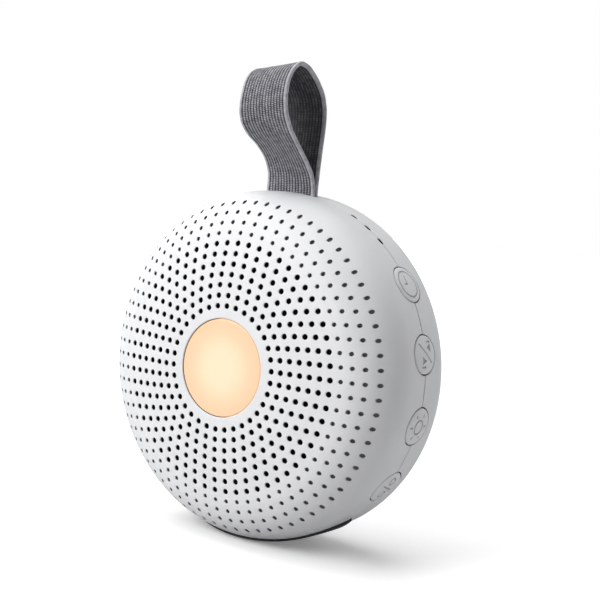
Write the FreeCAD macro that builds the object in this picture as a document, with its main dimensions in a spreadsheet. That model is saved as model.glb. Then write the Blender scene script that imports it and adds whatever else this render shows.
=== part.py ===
import FreeCAD, Part
import Sketcher
import math
import os
import re

# Portable white noise sound machine: a round, pillow-shaped case of two shells that meet at a seam
# round the rim. The front shell is the perforated grille with a night-light lens in its middle, four
# buttons and three indicator slots sit on the seam, and a webbing loop comes out of the top.
#
# The model is drawn round the centre of the case: the seam lies in the plane y = 0, the grille faces
# -Y, the buttons are on the +X side, and +Z is up. Every finished piece is then lifted so that the
# flat sole of the foot lies at z = 0. Sizes are in millimetres, angles in degrees from +X towards +Z.

SIZES = {
    # The case, as two halves of four tangent arcs each: dome, crown, shoulder, and the bow of the rim
    "case_radius": 46.0,
    "front_depth": 23.7,
    "front_dome": 400.0,
    "front_dome_edge": 14.0,
    "front_crown": 97.5,
    "front_shoulder": 15.5,
    "rear_depth": 19.2,
    "rear_dome": 360.0,
    "rear_dome_edge": 24.7,
    "rear_crown": 51.4,
    "rear_shoulder": 9.7,
    "rim_bow": 140.0,
    "wall": 2.0,
    "lip_depth": 1.6,
    "lip_gap": 0.1,
    # The foot
    "sole_drop": 0.15,
    "foot_reach": 28.8,
    "foot_half_width": 10.5,
    "foot_proud": 0.6,
    "foot_seat": 1.0,
    "foot_gap": 0.1,
    # The grille
    "hole_radius": 0.65,
    "first_ring": 15.74,
    "ring_pitch": 2.657,
    "ring_pairs": 17,
    "pairs_added": 2,
    "open_rings": 7,
    "blind_rings": 4,
    "blind_depth": 0.9,
    "cloth_gap": 0.05,
    "cloth_thickness": 0.4,
    # The night light
    "lens_radius": 12.4,
    "lens_gap": 0.15,
    "lens_inset": 0.15,
    "lens_wall": 1.8,
    "lens_rim": 1.2,
    "lens_rim_thickness": 1.0,
    "collar_gap": 0.15,
    "collar_wall": 1.0,
    "collar_end": 13.2,
    "cup_wall": 0.8,
    "cup_floor_radius": 9.6,
    "light_board_thickness": 1.2,
    "led_side": 2.0,
    "led_height": 0.8,
    "led_ring": 6.6,
    "led_count": 6,
    # The speaker
    "speaker_seat": 9.0,
    "speaker_radius": 34.0,
    "flange_thickness": 1.2,
    "flange_width": 4.4,
    "basket_depth": 8.4,
    "basket_back": 19.0,
    "basket_wall": 1.2,
    "basket_plate": 1.0,
    "basket_hole": 9.0,
    "window_radius": 2.4,
    "rib_wall": 1.4,
    "gasket_thickness": 0.8,
    "gasket_width": 2.6,
    "seat_gap": 0.05,
    "cone_radius": 24.9,
    "cone_wall": 0.5,
    "cone_depth": 6.0,
    "roll_wall": 0.4,
    "roll_rise": 1.0,
    "cap_radius": 8.0,
    "cap_rise": 1.5,
    "coil_radius": 6.75,
    "coil_wall": 0.4,
    "coil_length": 5.1,
    "coil_gap": 0.35,
    "top_plate": 1.6,
    "magnet_radius": 16.0,
    "magnet_bore": 9.5,
    "magnet_thickness": 4.2,
    "yoke_thickness": 1.6,
    "ear_reach": 37.2,
    "ear_radius": 3.0,
    # Screws and the bosses that they go into
    "small_screw": 0.9,
    "small_head": 1.8,
    "small_head_height": 1.1,
    "screw_clearance": 0.1,
    "boss_wall": 1.4,
    "screw_bite": 5.0,
    "pillar_reach": 38.2,
    "pillar_radius": 3.0,
    "case_screw": 1.1,
    "case_head": 2.3,
    "case_head_height": 1.7,
    "counterbore": 2.7,
    "counterbore_floor": 9.0,
    "pillar_gap": 0.1,
    # Main board, battery and charging port
    "board_front": 8.6,
    "board_thickness": 1.6,
    "board_radius": 34.0,
    "board_boss_reach": 30.5,
    "battery_width": 40.0,
    "battery_height": 30.0,
    "battery_thickness": 4.8,
    "battery_stand": 0.4,
    "foam_thickness": 0.7,
    "tray_gap": 0.3,
    "tray_wall": 1.2,
    "port_drop": 24.0,
    "port_width": 9.0,
    "port_height": 3.2,
    "port_skin": 0.3,
    "port_sink": 0.3,
    "port_gap": 0.15,
    "port_floor": 1.0,
    "tongue_width": 6.7,
    "tongue_thickness": 0.7,
    "tongue_length": 5.6,
    # Buttons, their switches and the button board
    "button_radius": 4.9,
    "button_gap": 0.2,
    "button_proud": 0.25,
    "button_rim": 0.8,
    "button_rim_thickness": 0.8,
    "button_rim_drop": 0.8,
    "button_travel": 0.4,
    "button_spacing": 22.8,
    "stem_radius": 1.5,
    "plunger_radius": 1.1,
    "plunger_length": 2.1,
    "plunger_show": 1.0,
    "plunger_gap": 0.05,
    "switch_width": 6.0,
    "switch_depth": 3.4,
    "switch_height": 3.4,
    "switch_front": 39.4,
    "button_board_front": 1.7,
    "button_board_thickness": 1.2,
    "button_board_inner": 32.0,
    "button_board_outer": 40.2,
    "button_board_low": -42.0,
    "button_board_high": 67.0,
    "post_reach": 36.5,
    "link_width": 1.5,
    "link_length": 8.0,
    # Indicator lights
    "indicator_angle": 57.4,
    "indicator_spacing": 6.4,
    "indicator_length": 2.1,
    "indicator_height": 1.0,
    "indicator_gap": 0.1,
    "indicator_inset": 0.1,
    "pipe_rim": 0.35,
    "pipe_rim_thickness": 0.8,
    "pipe_back": 40.3,
    # The webbing loop
    "strap_width": 15.0,
    "strap_thickness": 1.1,
    "strap_rise": 31.4,
    "strap_front": 17.2,
    "strap_back": 1.9,
    "strap_pivot": 1.4,
    "strap_gap": 0.35,
    "knuckle_gap": 0.1,
    "pin_radius": 1.5,
    "pin_reach": 39.5,
    "pin_length": 21.0,
    "saddle_wall": 1.8,
    "saddle_half": 3.2,
    # Wires
    "lead_radius": 0.45,
    "lead_spacing": 1.4,
    "lead_bend": 3.0,
    "battery_socket_gap": 6.5,
    "socket_depth": 3.0,
}

BUTTON_NAMES = ("timer", "sound", "light", "volume")
EAR_ANGLES = (0, 90, 180, 270)
CORNER_ANGLES = (45, 135, 225, 315)
LEAD_ANGLE = 158
SPEAKER_LEAD_ANGLE = 202
# Main parts on the board: distance from the axis, direction, side and height
CHIPS = ((22, 12, 7, 1), (21, 200, 5, 1), (23, 70, 4, 2), (22, 300, 6, 1), (26, 255, 4, 3))

# Faces that several pieces share, worked out from the sizes
COLLAR_INNER = "lens_radius + lens_rim + collar_gap"
COLLAR_OUTER = f"{COLLAR_INNER} + collar_wall"
LENS_RIM = "lens_radius + lens_rim"
LENS_RIM_FRONT = "front_depth - wall - lens_inset - 4 * seat_gap"
RIB_INNER = "speaker_radius - rib_wall * 3 / 4"
BOARD_BACK = "board_front + board_thickness"
LEAD_DEPTH = f"{BOARD_BACK} + 2 * lead_spacing"
KNUCKLE = "(strap_thickness + seat_gap)"

# The outside of the webbing loop from its front strand over the top to its rear strand: how far
# forward of the pivot as a share of strap_front, or behind it as a share of strap_back, and how high
# as a share of strap_rise
LOOP_SHAPE = ((0.11, 0.10), (0.25, 0.20), (0.49, 0.31), (0.75, 0.43), (0.93, 0.56), (1.00, 0.70),
              (0.965, 0.835), (0.84, 0.95), (0.65, 1.00), (0.43, 0.97), (0.19, 0.88), (-0.10, 0.77),
              (-0.90, 0.645), (-1.00, 0.50), (-0.80, 0.32), (-0.66, 0.15))
CROTCH_HEIGHT = 0.14

FRONT, REAR = "front", "rear"
X, Y, Z = FreeCAD.Vector(1, 0, 0), FreeCAD.Vector(0, 1, 0), FreeCAD.Vector(0, 0, 1)
ORIGIN = FreeCAD.Vector(0, 0, 0)

doc = FreeCAD.newDocument("sound_machine")
sheet = doc.addObject("Spreadsheet::Sheet", "Sizes")
for row, (alias, value) in enumerate(SIZES.items(), start=1):
    sheet.set(f"A{row}", alias)
    sheet.set(f"B{row}", str(value))
    sheet.setAlias(f"B{row}", alias)
doc.recompute()

pieces = []


# Reading and binding the sizes

def bound(formula):
    """The formula with each size's name pointing at its cell."""
    return re.sub(r"[a-z]+(_[a-z]+)*", lambda word: f"Sizes.{word[0]}" if word[0] in SIZES else word[0],
                  str(formula))


def number(formula):
    value = sheet.evalExpression(bound(formula))
    return float(getattr(value, "Value", value))


def count(alias):
    return int(round(number(alias)))


def bind(feature, **properties):
    for name, formula in properties.items():
        feature.setExpression(name, bound(formula))
    return feature


def polar(reach, angle, along=0.0):
    """A point at a distance from the case's axis, in the direction of an angle."""
    turn = math.radians(angle)
    return FreeCAD.Vector(reach * math.cos(turn), along, reach * math.sin(turn))


# Primitives and booleans as document objects

def named(kind, name):
    return doc.addObject(kind, name)


def cylinder(name, radius, length, start, direction):
    feature = bind(named("Part::Cylinder", name), Radius=radius, Height=length)
    feature.Placement = FreeCAD.Placement(start, FreeCAD.Rotation(Z, direction))
    return feature


def rod(name, radius, first, last, reach="0", angle=0.0):
    """A cylinder along Y from one depth to another, off the axis by reach in the direction of angle."""
    start = polar(number(reach), angle, number(first))
    return cylinder(name, radius, f"({last}) - ({first})", start, Y)


def spoke(name, radius, first, last, angle, along="0"):
    """A cylinder that points straight out from the axis, from one radius to another."""
    start = polar(number(first), angle, number(along))
    return cylinder(name, radius, f"({last}) - ({first})", start, polar(1, angle))


def block(name, low, high, angle=0.0):
    """A box from corner to corner, turned about the case's axis by an angle."""
    sides = [f"({b}) - ({a})" for a, b in zip(low, high)]
    feature = bind(named("Part::Box", name), Length=sides[0], Width=sides[1], Height=sides[2])
    corner = FreeCAD.Vector(*[number(a) for a in low])
    turn = FreeCAD.Rotation(Y, -angle)
    feature.Placement = FreeCAD.Placement(turn.multVec(corner), turn)
    return feature


def fuse(name, *parts):
    feature = named("Part::MultiFuse", name)
    feature.Shapes = list(parts)
    return feature


def common(name, *parts):
    feature = named("Part::MultiCommon", name)
    feature.Shapes = list(parts)
    return feature


def cut(name, base, tool):
    feature = named("Part::Cut", name)
    feature.Base = base
    feature.Tool = tool
    return feature


def group(name, *parts):
    feature = named("Part::Compound", name)
    feature.Links = list(parts)
    return feature


def shaped(name, shape):
    feature = named("Part::Feature", name)
    feature.Shape = shape
    return feature


def piece(name, feature, angle=0.0):
    """Takes a feature as a finished piece: turned to its place on the rim and lifted on to the foot."""
    feature.Label = name
    lift = FreeCAD.Vector(0, 0, number("case_radius + sole_drop"))
    home = FreeCAD.Placement(lift, FreeCAD.Rotation(Y, -angle))
    feature.Placement = home.multiply(feature.Placement)
    pieces.append(feature)
    return feature


# Turned solids, drawn as sketches and revolved about the case's axis

def sketch_on(body, name):
    sketch = body.newObject("Sketcher::SketchObject", name)
    plane = next(item for item in body.Origin.OriginFeatures if item.Role == "XY_Plane")
    sketch.AttachmentSupport = [(plane, "")]
    sketch.MapMode = "FlatFace"
    return sketch


def set_size(sketch, formula, kind, *where):
    index = sketch.addConstraint(Sketcher.Constraint(kind, *where, number(formula)))
    sketch.setExpression(f"Constraints[{index}]", bound(formula))


def revolve(body, sketch):
    turned_solid = body.newObject("PartDesign::Revolution", f"{body.Name}_turned")
    turned_solid.Profile = (sketch, [""])
    turned_solid.ReferenceAxis = (sketch, ["V_Axis"])
    turned_solid.Angle = 360
    return body


def turned(name, outline, start="0", facing=REAR):
    """A closed outline of radius and depth pairs, turned about the case's axis. Depths run from
    start, which is a distance behind the seam, or before it where the outline faces the front."""
    body = named("PartDesign::Body", name)
    sketch = sketch_on(body, f"{name}_outline")
    spots = [FreeCAD.Vector(number(radius), number(depth), 0) for radius, depth in outline]
    total = len(spots)
    for index, spot in enumerate(spots):
        sketch.addGeometry(Part.LineSegment(spot, spots[(index + 1) % total]), False)
    for index, (radius, depth) in enumerate(outline):
        sketch.addConstraint(Sketcher.Constraint("Coincident", index, 2, (index + 1) % total, 1))
        if str(radius) == "0":
            sketch.addConstraint(Sketcher.Constraint("PointOnObject", index, 1, -2))
        else:
            set_size(sketch, radius, "DistanceX", -1, 1, index, 1)
        if str(depth) == "0":
            sketch.addConstraint(Sketcher.Constraint("PointOnObject", index, 1, -1))
        else:
            set_size(sketch, depth, "DistanceY", -1, 1, index, 1)
    revolve(body, sketch)
    sign = 1 if facing == REAR else -1
    turn = FreeCAD.Rotation(Z, 0 if facing == REAR else 180)
    body.Placement = FreeCAD.Placement(FreeCAD.Vector(0, sign * number(start), 0), turn)
    return body


def inner_tangent_centre(first, first_radius, second, second_radius, radius):
    """The centre of an arc that touches two larger arcs from inside, on the outer side of the case."""
    a, b = first_radius - radius, second_radius - radius
    gap = second - first
    along = (a * a - b * b + gap.Length ** 2) / (2 * gap.Length)
    away = math.sqrt(a * a - along * along)
    unit = FreeCAD.Vector(gap).normalize()
    side = FreeCAD.Vector(-unit.y, unit.x, 0)
    choices = [first + unit * along + side * away, first + unit * along - side * away]
    return max(choices, key=lambda centre: centre.x)


def half_case(name, half, inset="0"):
    """One half of the case as a solid, with its outside drawn in by inset."""
    sizes = {key: f"{half}_{key}" for key in ("depth", "dome", "dome_edge", "crown", "shoulder")}
    rim = f"case_radius - ({inset})"
    depth = f"{sizes['depth']} - ({inset})"
    radii = [f"rim_bow - ({inset})", f"{sizes['shoulder']} - ({inset})",
             f"{sizes['crown']} - ({inset})", f"{sizes['dome']} - ({inset})"]
    edge = f"{sizes['dome_edge']} * ({radii[3]}) / {sizes['dome']}"
    bow, shoulder, crown, dome = [number(radius) for radius in radii]
    dome_centre = FreeCAD.Vector(0, number(depth) - dome, 0)
    lean = math.asin(number(edge) / dome)
    crown_centre = dome_centre + FreeCAD.Vector(math.sin(lean), math.cos(lean), 0) * (dome - crown)
    bow_centre = FreeCAD.Vector(number(rim) - bow, 0, 0)
    shoulder_centre = inner_tangent_centre(crown_centre, crown, bow_centre, bow, shoulder)
    to_shoulder = shoulder_centre - bow_centre
    from_crown = shoulder_centre - crown_centre
    turns = [0, math.atan2(to_shoulder.y, to_shoulder.x), math.atan2(from_crown.y, from_crown.x),
             math.pi / 2 - lean, math.pi / 2]
    body = named("PartDesign::Body", name)
    sketch = sketch_on(body, f"{name}_outline")
    centres = (bow_centre, shoulder_centre, crown_centre, dome_centre)
    for index, (centre, radius) in enumerate(zip(centres, (bow, shoulder, crown, dome))):
        circle = Part.Circle(centre, Z, radius)
        sketch.addGeometry(Part.ArcOfCircle(circle, turns[index], turns[index + 1]), False)
    apex = FreeCAD.Vector(0, number(depth), 0)
    sketch.addGeometry(Part.LineSegment(apex, ORIGIN), False)
    sketch.addGeometry(Part.LineSegment(ORIGIN, FreeCAD.Vector(number(rim), 0, 0)), False)
    for index in range(3):
        sketch.addConstraint(Sketcher.Constraint("Tangent", index, 2, index + 1, 1))
    for where in ((3, 2, 4, 1), (4, 2, -1, 1), (5, 1, -1, 1), (5, 2, 0, 1)):
        sketch.addConstraint(Sketcher.Constraint("Coincident", *where))
    for where in ((3, 3, -2), (3, 2, -2), (0, 3, -1), (0, 1, -1)):
        sketch.addConstraint(Sketcher.Constraint("PointOnObject", *where))
    for index, radius in enumerate(radii):
        set_size(sketch, radius, "Radius", index)
    set_size(sketch, depth, "DistanceY", -1, 1, 3, 2)
    set_size(sketch, edge, "DistanceX", -1, 1, 3, 1)
    set_size(sketch, rim, "DistanceX", -1, 1, 0, 1)
    revolve(body, sketch)
    if half == FRONT:
        body.Placement = FreeCAD.Placement(ORIGIN, FreeCAD.Rotation(Z, 180))
    return body


def whole_case(name, inset="0"):
    return fuse(name, half_case(f"{name}_front", FRONT, inset), half_case(f"{name}_rear", REAR, inset))


def obround(name, length, height, first, last):
    """A bar with round ends along X: its long side along Z, its short side along Y."""
    straight = f"(({length}) - ({height})) / 2"
    middle = block(f"{name}_middle", (first, f"-({height}) / 2", f"-({straight})"),
                   (last, f"({height}) / 2", straight))
    ends = []
    for label, sign in (("top", 1), ("bottom", -1)):
        start = FreeCAD.Vector(number(first), 0, sign * number(straight))
        ends.append(cylinder(f"{name}_{label}", f"({height}) / 2", f"({last}) - ({first})", start, X))
    return fuse(name, middle, *ends)


def placed(feature, angle):
    """Turns a built feature about the case's axis to the direction of an angle."""
    feature.Placement = FreeCAD.Placement(ORIGIN, FreeCAD.Rotation(Y, -angle))
    return feature


def ring(name, inner, outer, first, last):
    """A tube round the case's axis from one depth to another."""
    return cut(name, rod(f"{name}_outside", outer, first, last), rod(f"{name}_inside", inner, first, last))


def button_angles():
    step = number("button_spacing")
    return [step * turns for turns in (1.5, 0.5, -0.5, -1.5)]


def indicator_angles():
    middle = number("indicator_angle")
    step = number("indicator_spacing")
    return [middle + step, middle, middle - step]


def post_angles():
    step = number("button_spacing")
    return [step, -step, number("indicator_angle")]


# Openings in the rim that both shells share, so each is cut half out of either

def foot_outline(name, gap="0"):
    """An upright prism in the shape of a pointed oval, where two round columns overlap."""
    radius = "(foot_reach ^ 2 + foot_half_width ^ 2) / (2 * foot_half_width)"
    columns = []
    for label, sign in (("front", 1), ("rear", -1)):
        offset = sign * (number(radius) - number("foot_half_width"))
        start = FreeCAD.Vector(0, offset, -number("case_radius + foot_proud + wall"))
        columns.append(cylinder(f"{name}_{label}", f"{radius} + ({gap})", "case_radius", start, Z))
    return common(name, *columns)


def foot_recess():
    bed = whole_case("foot_bed", "foot_seat")
    return cut("foot_recess", foot_outline("foot_recess_outline", "foot_gap"), bed)


def strap_slot():
    """A narrow slot through the rim for the webbing, with a wider throat inside the wall."""
    half_width = "strap_width / 2 + strap_gap"
    mouths = []
    for label, half_gap, low, high in (
            ("slot", "strap_thickness + strap_gap", "case_radius - wall", "case_radius + strap_pivot"),
            ("throat", "pin_radius + strap_thickness + strap_gap", "pin_reach", "case_radius - wall")):
        mouths.append(block(f"strap_{label}", (f"-({half_width})", f"-({half_gap})", low),
                            (half_width, half_gap, high)))
    return group("strap_openings", *mouths)


def rim_openings():
    inside, outside = "case_radius - 2 * wall", "case_radius + wall"
    tools = []
    for index, angle in enumerate(button_angles()):
        tools.append(spoke(f"button_hole_{index}", "button_radius + button_gap", inside, outside, angle))
    for index, angle in enumerate(indicator_angles()):
        slot = obround(f"indicator_slot_{index}", "indicator_length + 2 * indicator_gap",
                       "indicator_height + 2 * indicator_gap", inside, outside)
        tools.append(placed(slot, angle))
    return group("rim_openings", strap_slot(), foot_recess(), *tools)


def saddle(half, side):
    """A cheek that the strap pin's end rests in, half of it on either shell."""
    near = "strap_width / 2 + strap_gap"
    low = [near, "seat_gap", "pin_reach - saddle_half"]
    high = [f"{near} + saddle_wall", "front_depth", "case_radius"]
    if half == FRONT:
        low[1], high[1] = f"-({high[1]})", f"-({low[1]})"
    if side == "left":
        low[0], high[0] = f"-({high[0]})", f"-({low[0]})"
    name = f"{half}_saddle_{side}"
    start = FreeCAD.Vector(-number("pin_length"), 0, number("pin_reach"))
    hole = cylinder(f"{name}_hole", "pin_radius + seat_gap", "2 * pin_length", start, X)
    return cut(name, block(f"{name}_cheek", low, high), hole)


# The front shell: the perforated dome with its lens collar, speaker ring, bosses and pillars

def surface_depth(solid, reach):
    """How far before the seam the outside of the front lies, at a distance from the axis."""
    line = Part.makeLine(FreeCAD.Vector(reach, 0, 0), FreeCAD.Vector(reach, -number("front_depth"), 0))
    return line.common(solid).BoundBox.YLength


def ring_holes(dome):
    """Every hole of the grille that touches the quarter with x and z positive. Each ring has one
    hole straight up and an even number in all, so the other quarters are mirror images."""
    holes = []
    radius = number("hole_radius")
    open_rings = count("open_rings")
    for index in range(open_rings + count("blind_rings")):
        reach = number("first_ring") + index * number("ring_pitch")
        total = 2 * (count("ring_pairs") + index * count("pairs_added"))
        if index < open_rings:
            floor = number("collar_end")
        else:
            floor = surface_depth(dome, reach) - number("blind_depth")
        for turn in range(total // 4 + 1):
            spot = polar(reach, 90 - 360 * turn / total, -floor)
            holes.append(Part.makeCylinder(radius, number("front_depth"), spot, -Y))
    return holes


def perforated_dome():
    """The front shell's skin with the grille in it. Its several hundred holes are cut in a quarter
    of the skin, which is then mirrored, because their number differs from ring to ring."""
    outside = half_case("front_outside", FRONT)
    skin = cut("front_skin", outside, half_case("front_inside", FRONT, "wall"))
    doc.recompute()
    span = number("case_radius + wall")
    corner = Part.makeBox(span, span, span, FreeCAD.Vector(0, -span, 0))
    quarter = skin.Shape.common(corner).cut(ring_holes(outside.Shape))
    half = quarter.fuse(quarter.mirror(ORIGIN, X))
    return shaped("grille_skin", half.fuse(half.mirror(ORIGIN, Z)).removeSplitter())


def front_shell(openings):
    collar = ring("collar", COLLAR_INNER, COLLAR_OUTER, "-front_depth", "-collar_end")
    rib_end = "-(speaker_seat + gasket_thickness + seat_gap)"
    speaker_ring = ring("speaker_ring", RIB_INNER, f"{RIB_INNER} + rib_wall", "-front_depth", rib_end)
    notch = block("lead_notch", (f"{RIB_INNER} - rib_wall", "-(collar_end + lead_spacing)", "-lead_spacing"),
                  (f"{RIB_INNER} + 2 * rib_wall", rib_end, "lead_spacing"), LEAD_ANGLE)
    ribs = [collar, cut("notched_ring", speaker_ring, notch)]
    holes = [rod("lens_hole", "lens_radius + lens_gap", "-front_depth - wall", "-collar_end"),
             ring("front_rebate", "case_radius - wall - lip_depth", "case_radius - wall / 2",
                  "-lip_depth", "wall")]
    for angle in EAR_ANGLES:
        ribs.append(rod(f"ear_boss_{angle}", "small_screw + screw_clearance + boss_wall", "-front_depth",
                        "-(speaker_seat + seat_gap)", "ear_reach", angle))
        holes.append(rod(f"ear_hole_{angle}", "small_screw + screw_clearance / 2",
                         "-(speaker_seat + screw_bite)", "0", "ear_reach", angle))
    for angle in CORNER_ANGLES:
        ribs.append(rod(f"front_pillar_{angle}", "pillar_radius", "-front_depth", "-pillar_gap",
                        "pillar_reach", angle))
        holes.append(rod(f"pillar_hole_{angle}", "case_screw + screw_clearance / 2", "-2 * screw_bite",
                         "wall", "pillar_reach", angle))
    ribs += [saddle(FRONT, side) for side in ("left", "right")]
    core = half_case("front_core", FRONT, "wall / 2")
    fittings = common("front_fittings", fuse("front_ribs", *ribs), core)
    body = fuse("front_body", perforated_dome(), fittings)
    pierced = cut("front_pierced", body, group("front_holes", *holes))
    piece("front_shell", cut("front_shell", pierced, openings))


# The rear shell: the plain dome with the tongue, board bosses, battery tray and charging slot

def rear_shell(openings):
    back = "rear_depth"
    ribs = []
    holes = [port_bar("port_slot", "port_width + 2 * port_gap", "port_height + 2 * port_gap",
                      BOARD_BACK, "rear_depth + wall")]
    for angle in CORNER_ANGLES:
        ribs.append(rod(f"rear_pillar_{angle}", "pillar_radius", "pillar_gap", back, "pillar_reach", angle))
        ribs.append(rod(f"rear_well_{angle}", "counterbore + wall / 2", "counterbore_floor - wall / 2",
                        back, "pillar_reach", angle))
        ribs.append(rod(f"board_boss_{angle}", "small_screw + screw_clearance + boss_wall",
                        BOARD_BACK, back, "board_boss_reach", angle))
        holes.append(rod(f"case_hole_{angle}", "case_screw + screw_clearance", "0",
                         "counterbore_floor + wall", "pillar_reach", angle))
        holes.append(rod(f"counterbore_{angle}", "counterbore", "counterbore_floor", "rear_depth + wall",
                         "pillar_reach", angle))
        holes.append(rod(f"board_hole_{angle}", "small_screw + screw_clearance / 2", "board_front",
                         f"{BOARD_BACK} + screw_bite / 2", "board_boss_reach", angle))
    for index, angle in enumerate(post_angles()):
        ribs.append(rod(f"post_{index}", "small_screw + screw_clearance + boss_wall / 2",
                        "button_board_front + button_board_thickness", back, "post_reach", angle))
        holes.append(rod(f"post_hole_{index}", "small_screw + screw_clearance / 2", "button_board_front",
                         "button_board_front + screw_bite", "post_reach", angle))
    half_x, half_z = "battery_width / 2 + tray_gap", "battery_height / 2 + tray_gap"
    tray_front = f"{BOARD_BACK} + battery_stand"
    outer = block("tray_outside", (f"-({half_x} + tray_wall)", tray_front, f"-({half_z} + tray_wall)"),
                  (f"{half_x} + tray_wall", back, f"{half_z} + tray_wall"))
    inner = block("tray_inside", (f"-({half_x})", "board_front", f"-({half_z})"), (half_x, back, half_z))
    notch = block("tray_notch", ("-1.5 * lead_spacing", "board_front", "0"),
                  ("1.5 * lead_spacing", f"{LEAD_DEPTH} + lead_spacing", "battery_height"))
    ribs.append(cut("battery_tray", cut("tray_frame", outer, inner), notch))
    ribs += [saddle(REAR, side) for side in ("left", "right")]
    skin = cut("rear_skin", half_case("rear_outside", REAR), half_case("rear_inside", REAR, "wall"))
    core = half_case("rear_core", REAR, "wall / 2")
    fittings = common("rear_fittings", fuse("rear_ribs", *ribs), core)
    tongue = ring("tongue", "case_radius - wall", "case_radius - wall / 2 - lip_gap",
                  "-(lip_depth - lip_gap)", "lip_depth")
    body = fuse("rear_body", skin, fittings, tongue)
    pierced = cut("rear_pierced", body, fuse("rear_holes", *holes))
    piece("rear_shell", cut("rear_shell", pierced, openings))


def port_bar(name, width, height, first, last):
    """A flat bar with round ends along Y, below the case's middle, its long side along X."""
    bar = obround(name, width, height, first, last)
    turn = FreeCAD.Rotation(Y, Z, X, "XYZ")
    bar.Placement = FreeCAD.Placement(FreeCAD.Vector(0, 0, -number("port_drop")), turn)
    return bar


def foot_pad():
    skin = common("foot_block", foot_outline("foot_block_outline"), whole_case("foot_skin", "-foot_proud"))
    pad = cut("foot_blank", skin, whole_case("foot_back", "foot_seat - seat_gap"))
    under = block("under_sole", ("-case_radius", "-foot_half_width", "-2 * case_radius"),
                  ("case_radius", "foot_half_width", "-(case_radius + sole_drop)"))
    piece("foot_pad", cut("foot_pad", pad, under))


# Screws, as groups of like ones. A screw's head sits at a depth and its shank points fore or aft.

def screws(name, spots, seat, pointing, radius, head, head_height, length):
    parts = []
    for index, (reach, angle) in enumerate(spots):
        if pointing == FRONT:
            shank, cap = (f"{seat} - ({length})", seat), (seat, f"{seat} + {head_height}")
        else:
            shank, cap = (seat, f"{seat} + {length}"), (f"{seat} - {head_height}", seat)
        parts.append(fuse(f"{name}_{index}", rod(f"{name}_shank_{index}", radius, *shank, reach, angle),
                          rod(f"{name}_head_{index}", head, *cap, reach, angle)))
    piece(name, group(name, *parts))


# The night light: a diffusing lens, its reflecting cup and the board of light-emitting diodes

def night_light():
    column = rod("lens_column", "lens_radius", "-front_depth", f"-({LENS_RIM_FRONT} - lens_rim_thickness)")
    face = common("lens_face", half_case("lens_limit", FRONT, "lens_inset"), column)
    rim = rod("lens_rim", LENS_RIM, f"-({LENS_RIM_FRONT})", f"-({LENS_RIM_FRONT} - lens_rim_thickness)")
    hollow = rod("lens_hollow", "lens_radius - lens_wall", f"-({LENS_RIM_FRONT} + lens_wall / 3)", "0")
    piece("night_light_lens", cut("night_light_lens", fuse("lens_solid", face, rim), hollow))
    cup_front = f"{LENS_RIM_FRONT} - lens_rim_thickness - seat_gap"
    cup_back = "collar_end + seat_gap"
    piece("light_cup", turned("light_cup", [
        (f"{LENS_RIM} - cup_wall", cup_front), (LENS_RIM, cup_front), (LENS_RIM, cup_back),
        ("cup_floor_radius", cup_back), ("cup_floor_radius", f"{cup_back} + cup_wall")], facing=FRONT))
    board_front = "collar_end - seat_gap"
    piece("light_board", rod("light_board", COLLAR_OUTER, f"-({board_front})",
                             f"-({board_front} - light_board_thickness)"))
    total = count("led_count")
    leds = []
    for index in range(total):
        leds.append(block(f"light_led_{index}", (
            "led_ring - led_side / 2", f"-({board_front} + led_height)", "-led_side / 2"), (
            "led_ring + led_side / 2", f"-({board_front})", "led_side / 2"), 360 * index / total))
    piece("light_leds", group("light_leds", *leds))


def grille_cloth():
    front, back = "wall + cloth_gap", "wall + cloth_gap + cloth_thickness"
    face, reverse = half_case("cloth_front", FRONT, front), half_case("cloth_back", FRONT, back)
    sheet_form = cut("cloth_sheet", face, reverse)
    band = ring("cloth_band", f"{COLLAR_OUTER} + collar_gap", f"{RIB_INNER} - collar_gap",
                "-front_depth", "-speaker_seat")
    piece("grille_cloth", common("grille_cloth", sheet_form, band))


# The speaker, drawn in depths behind the front face of its flange

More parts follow.
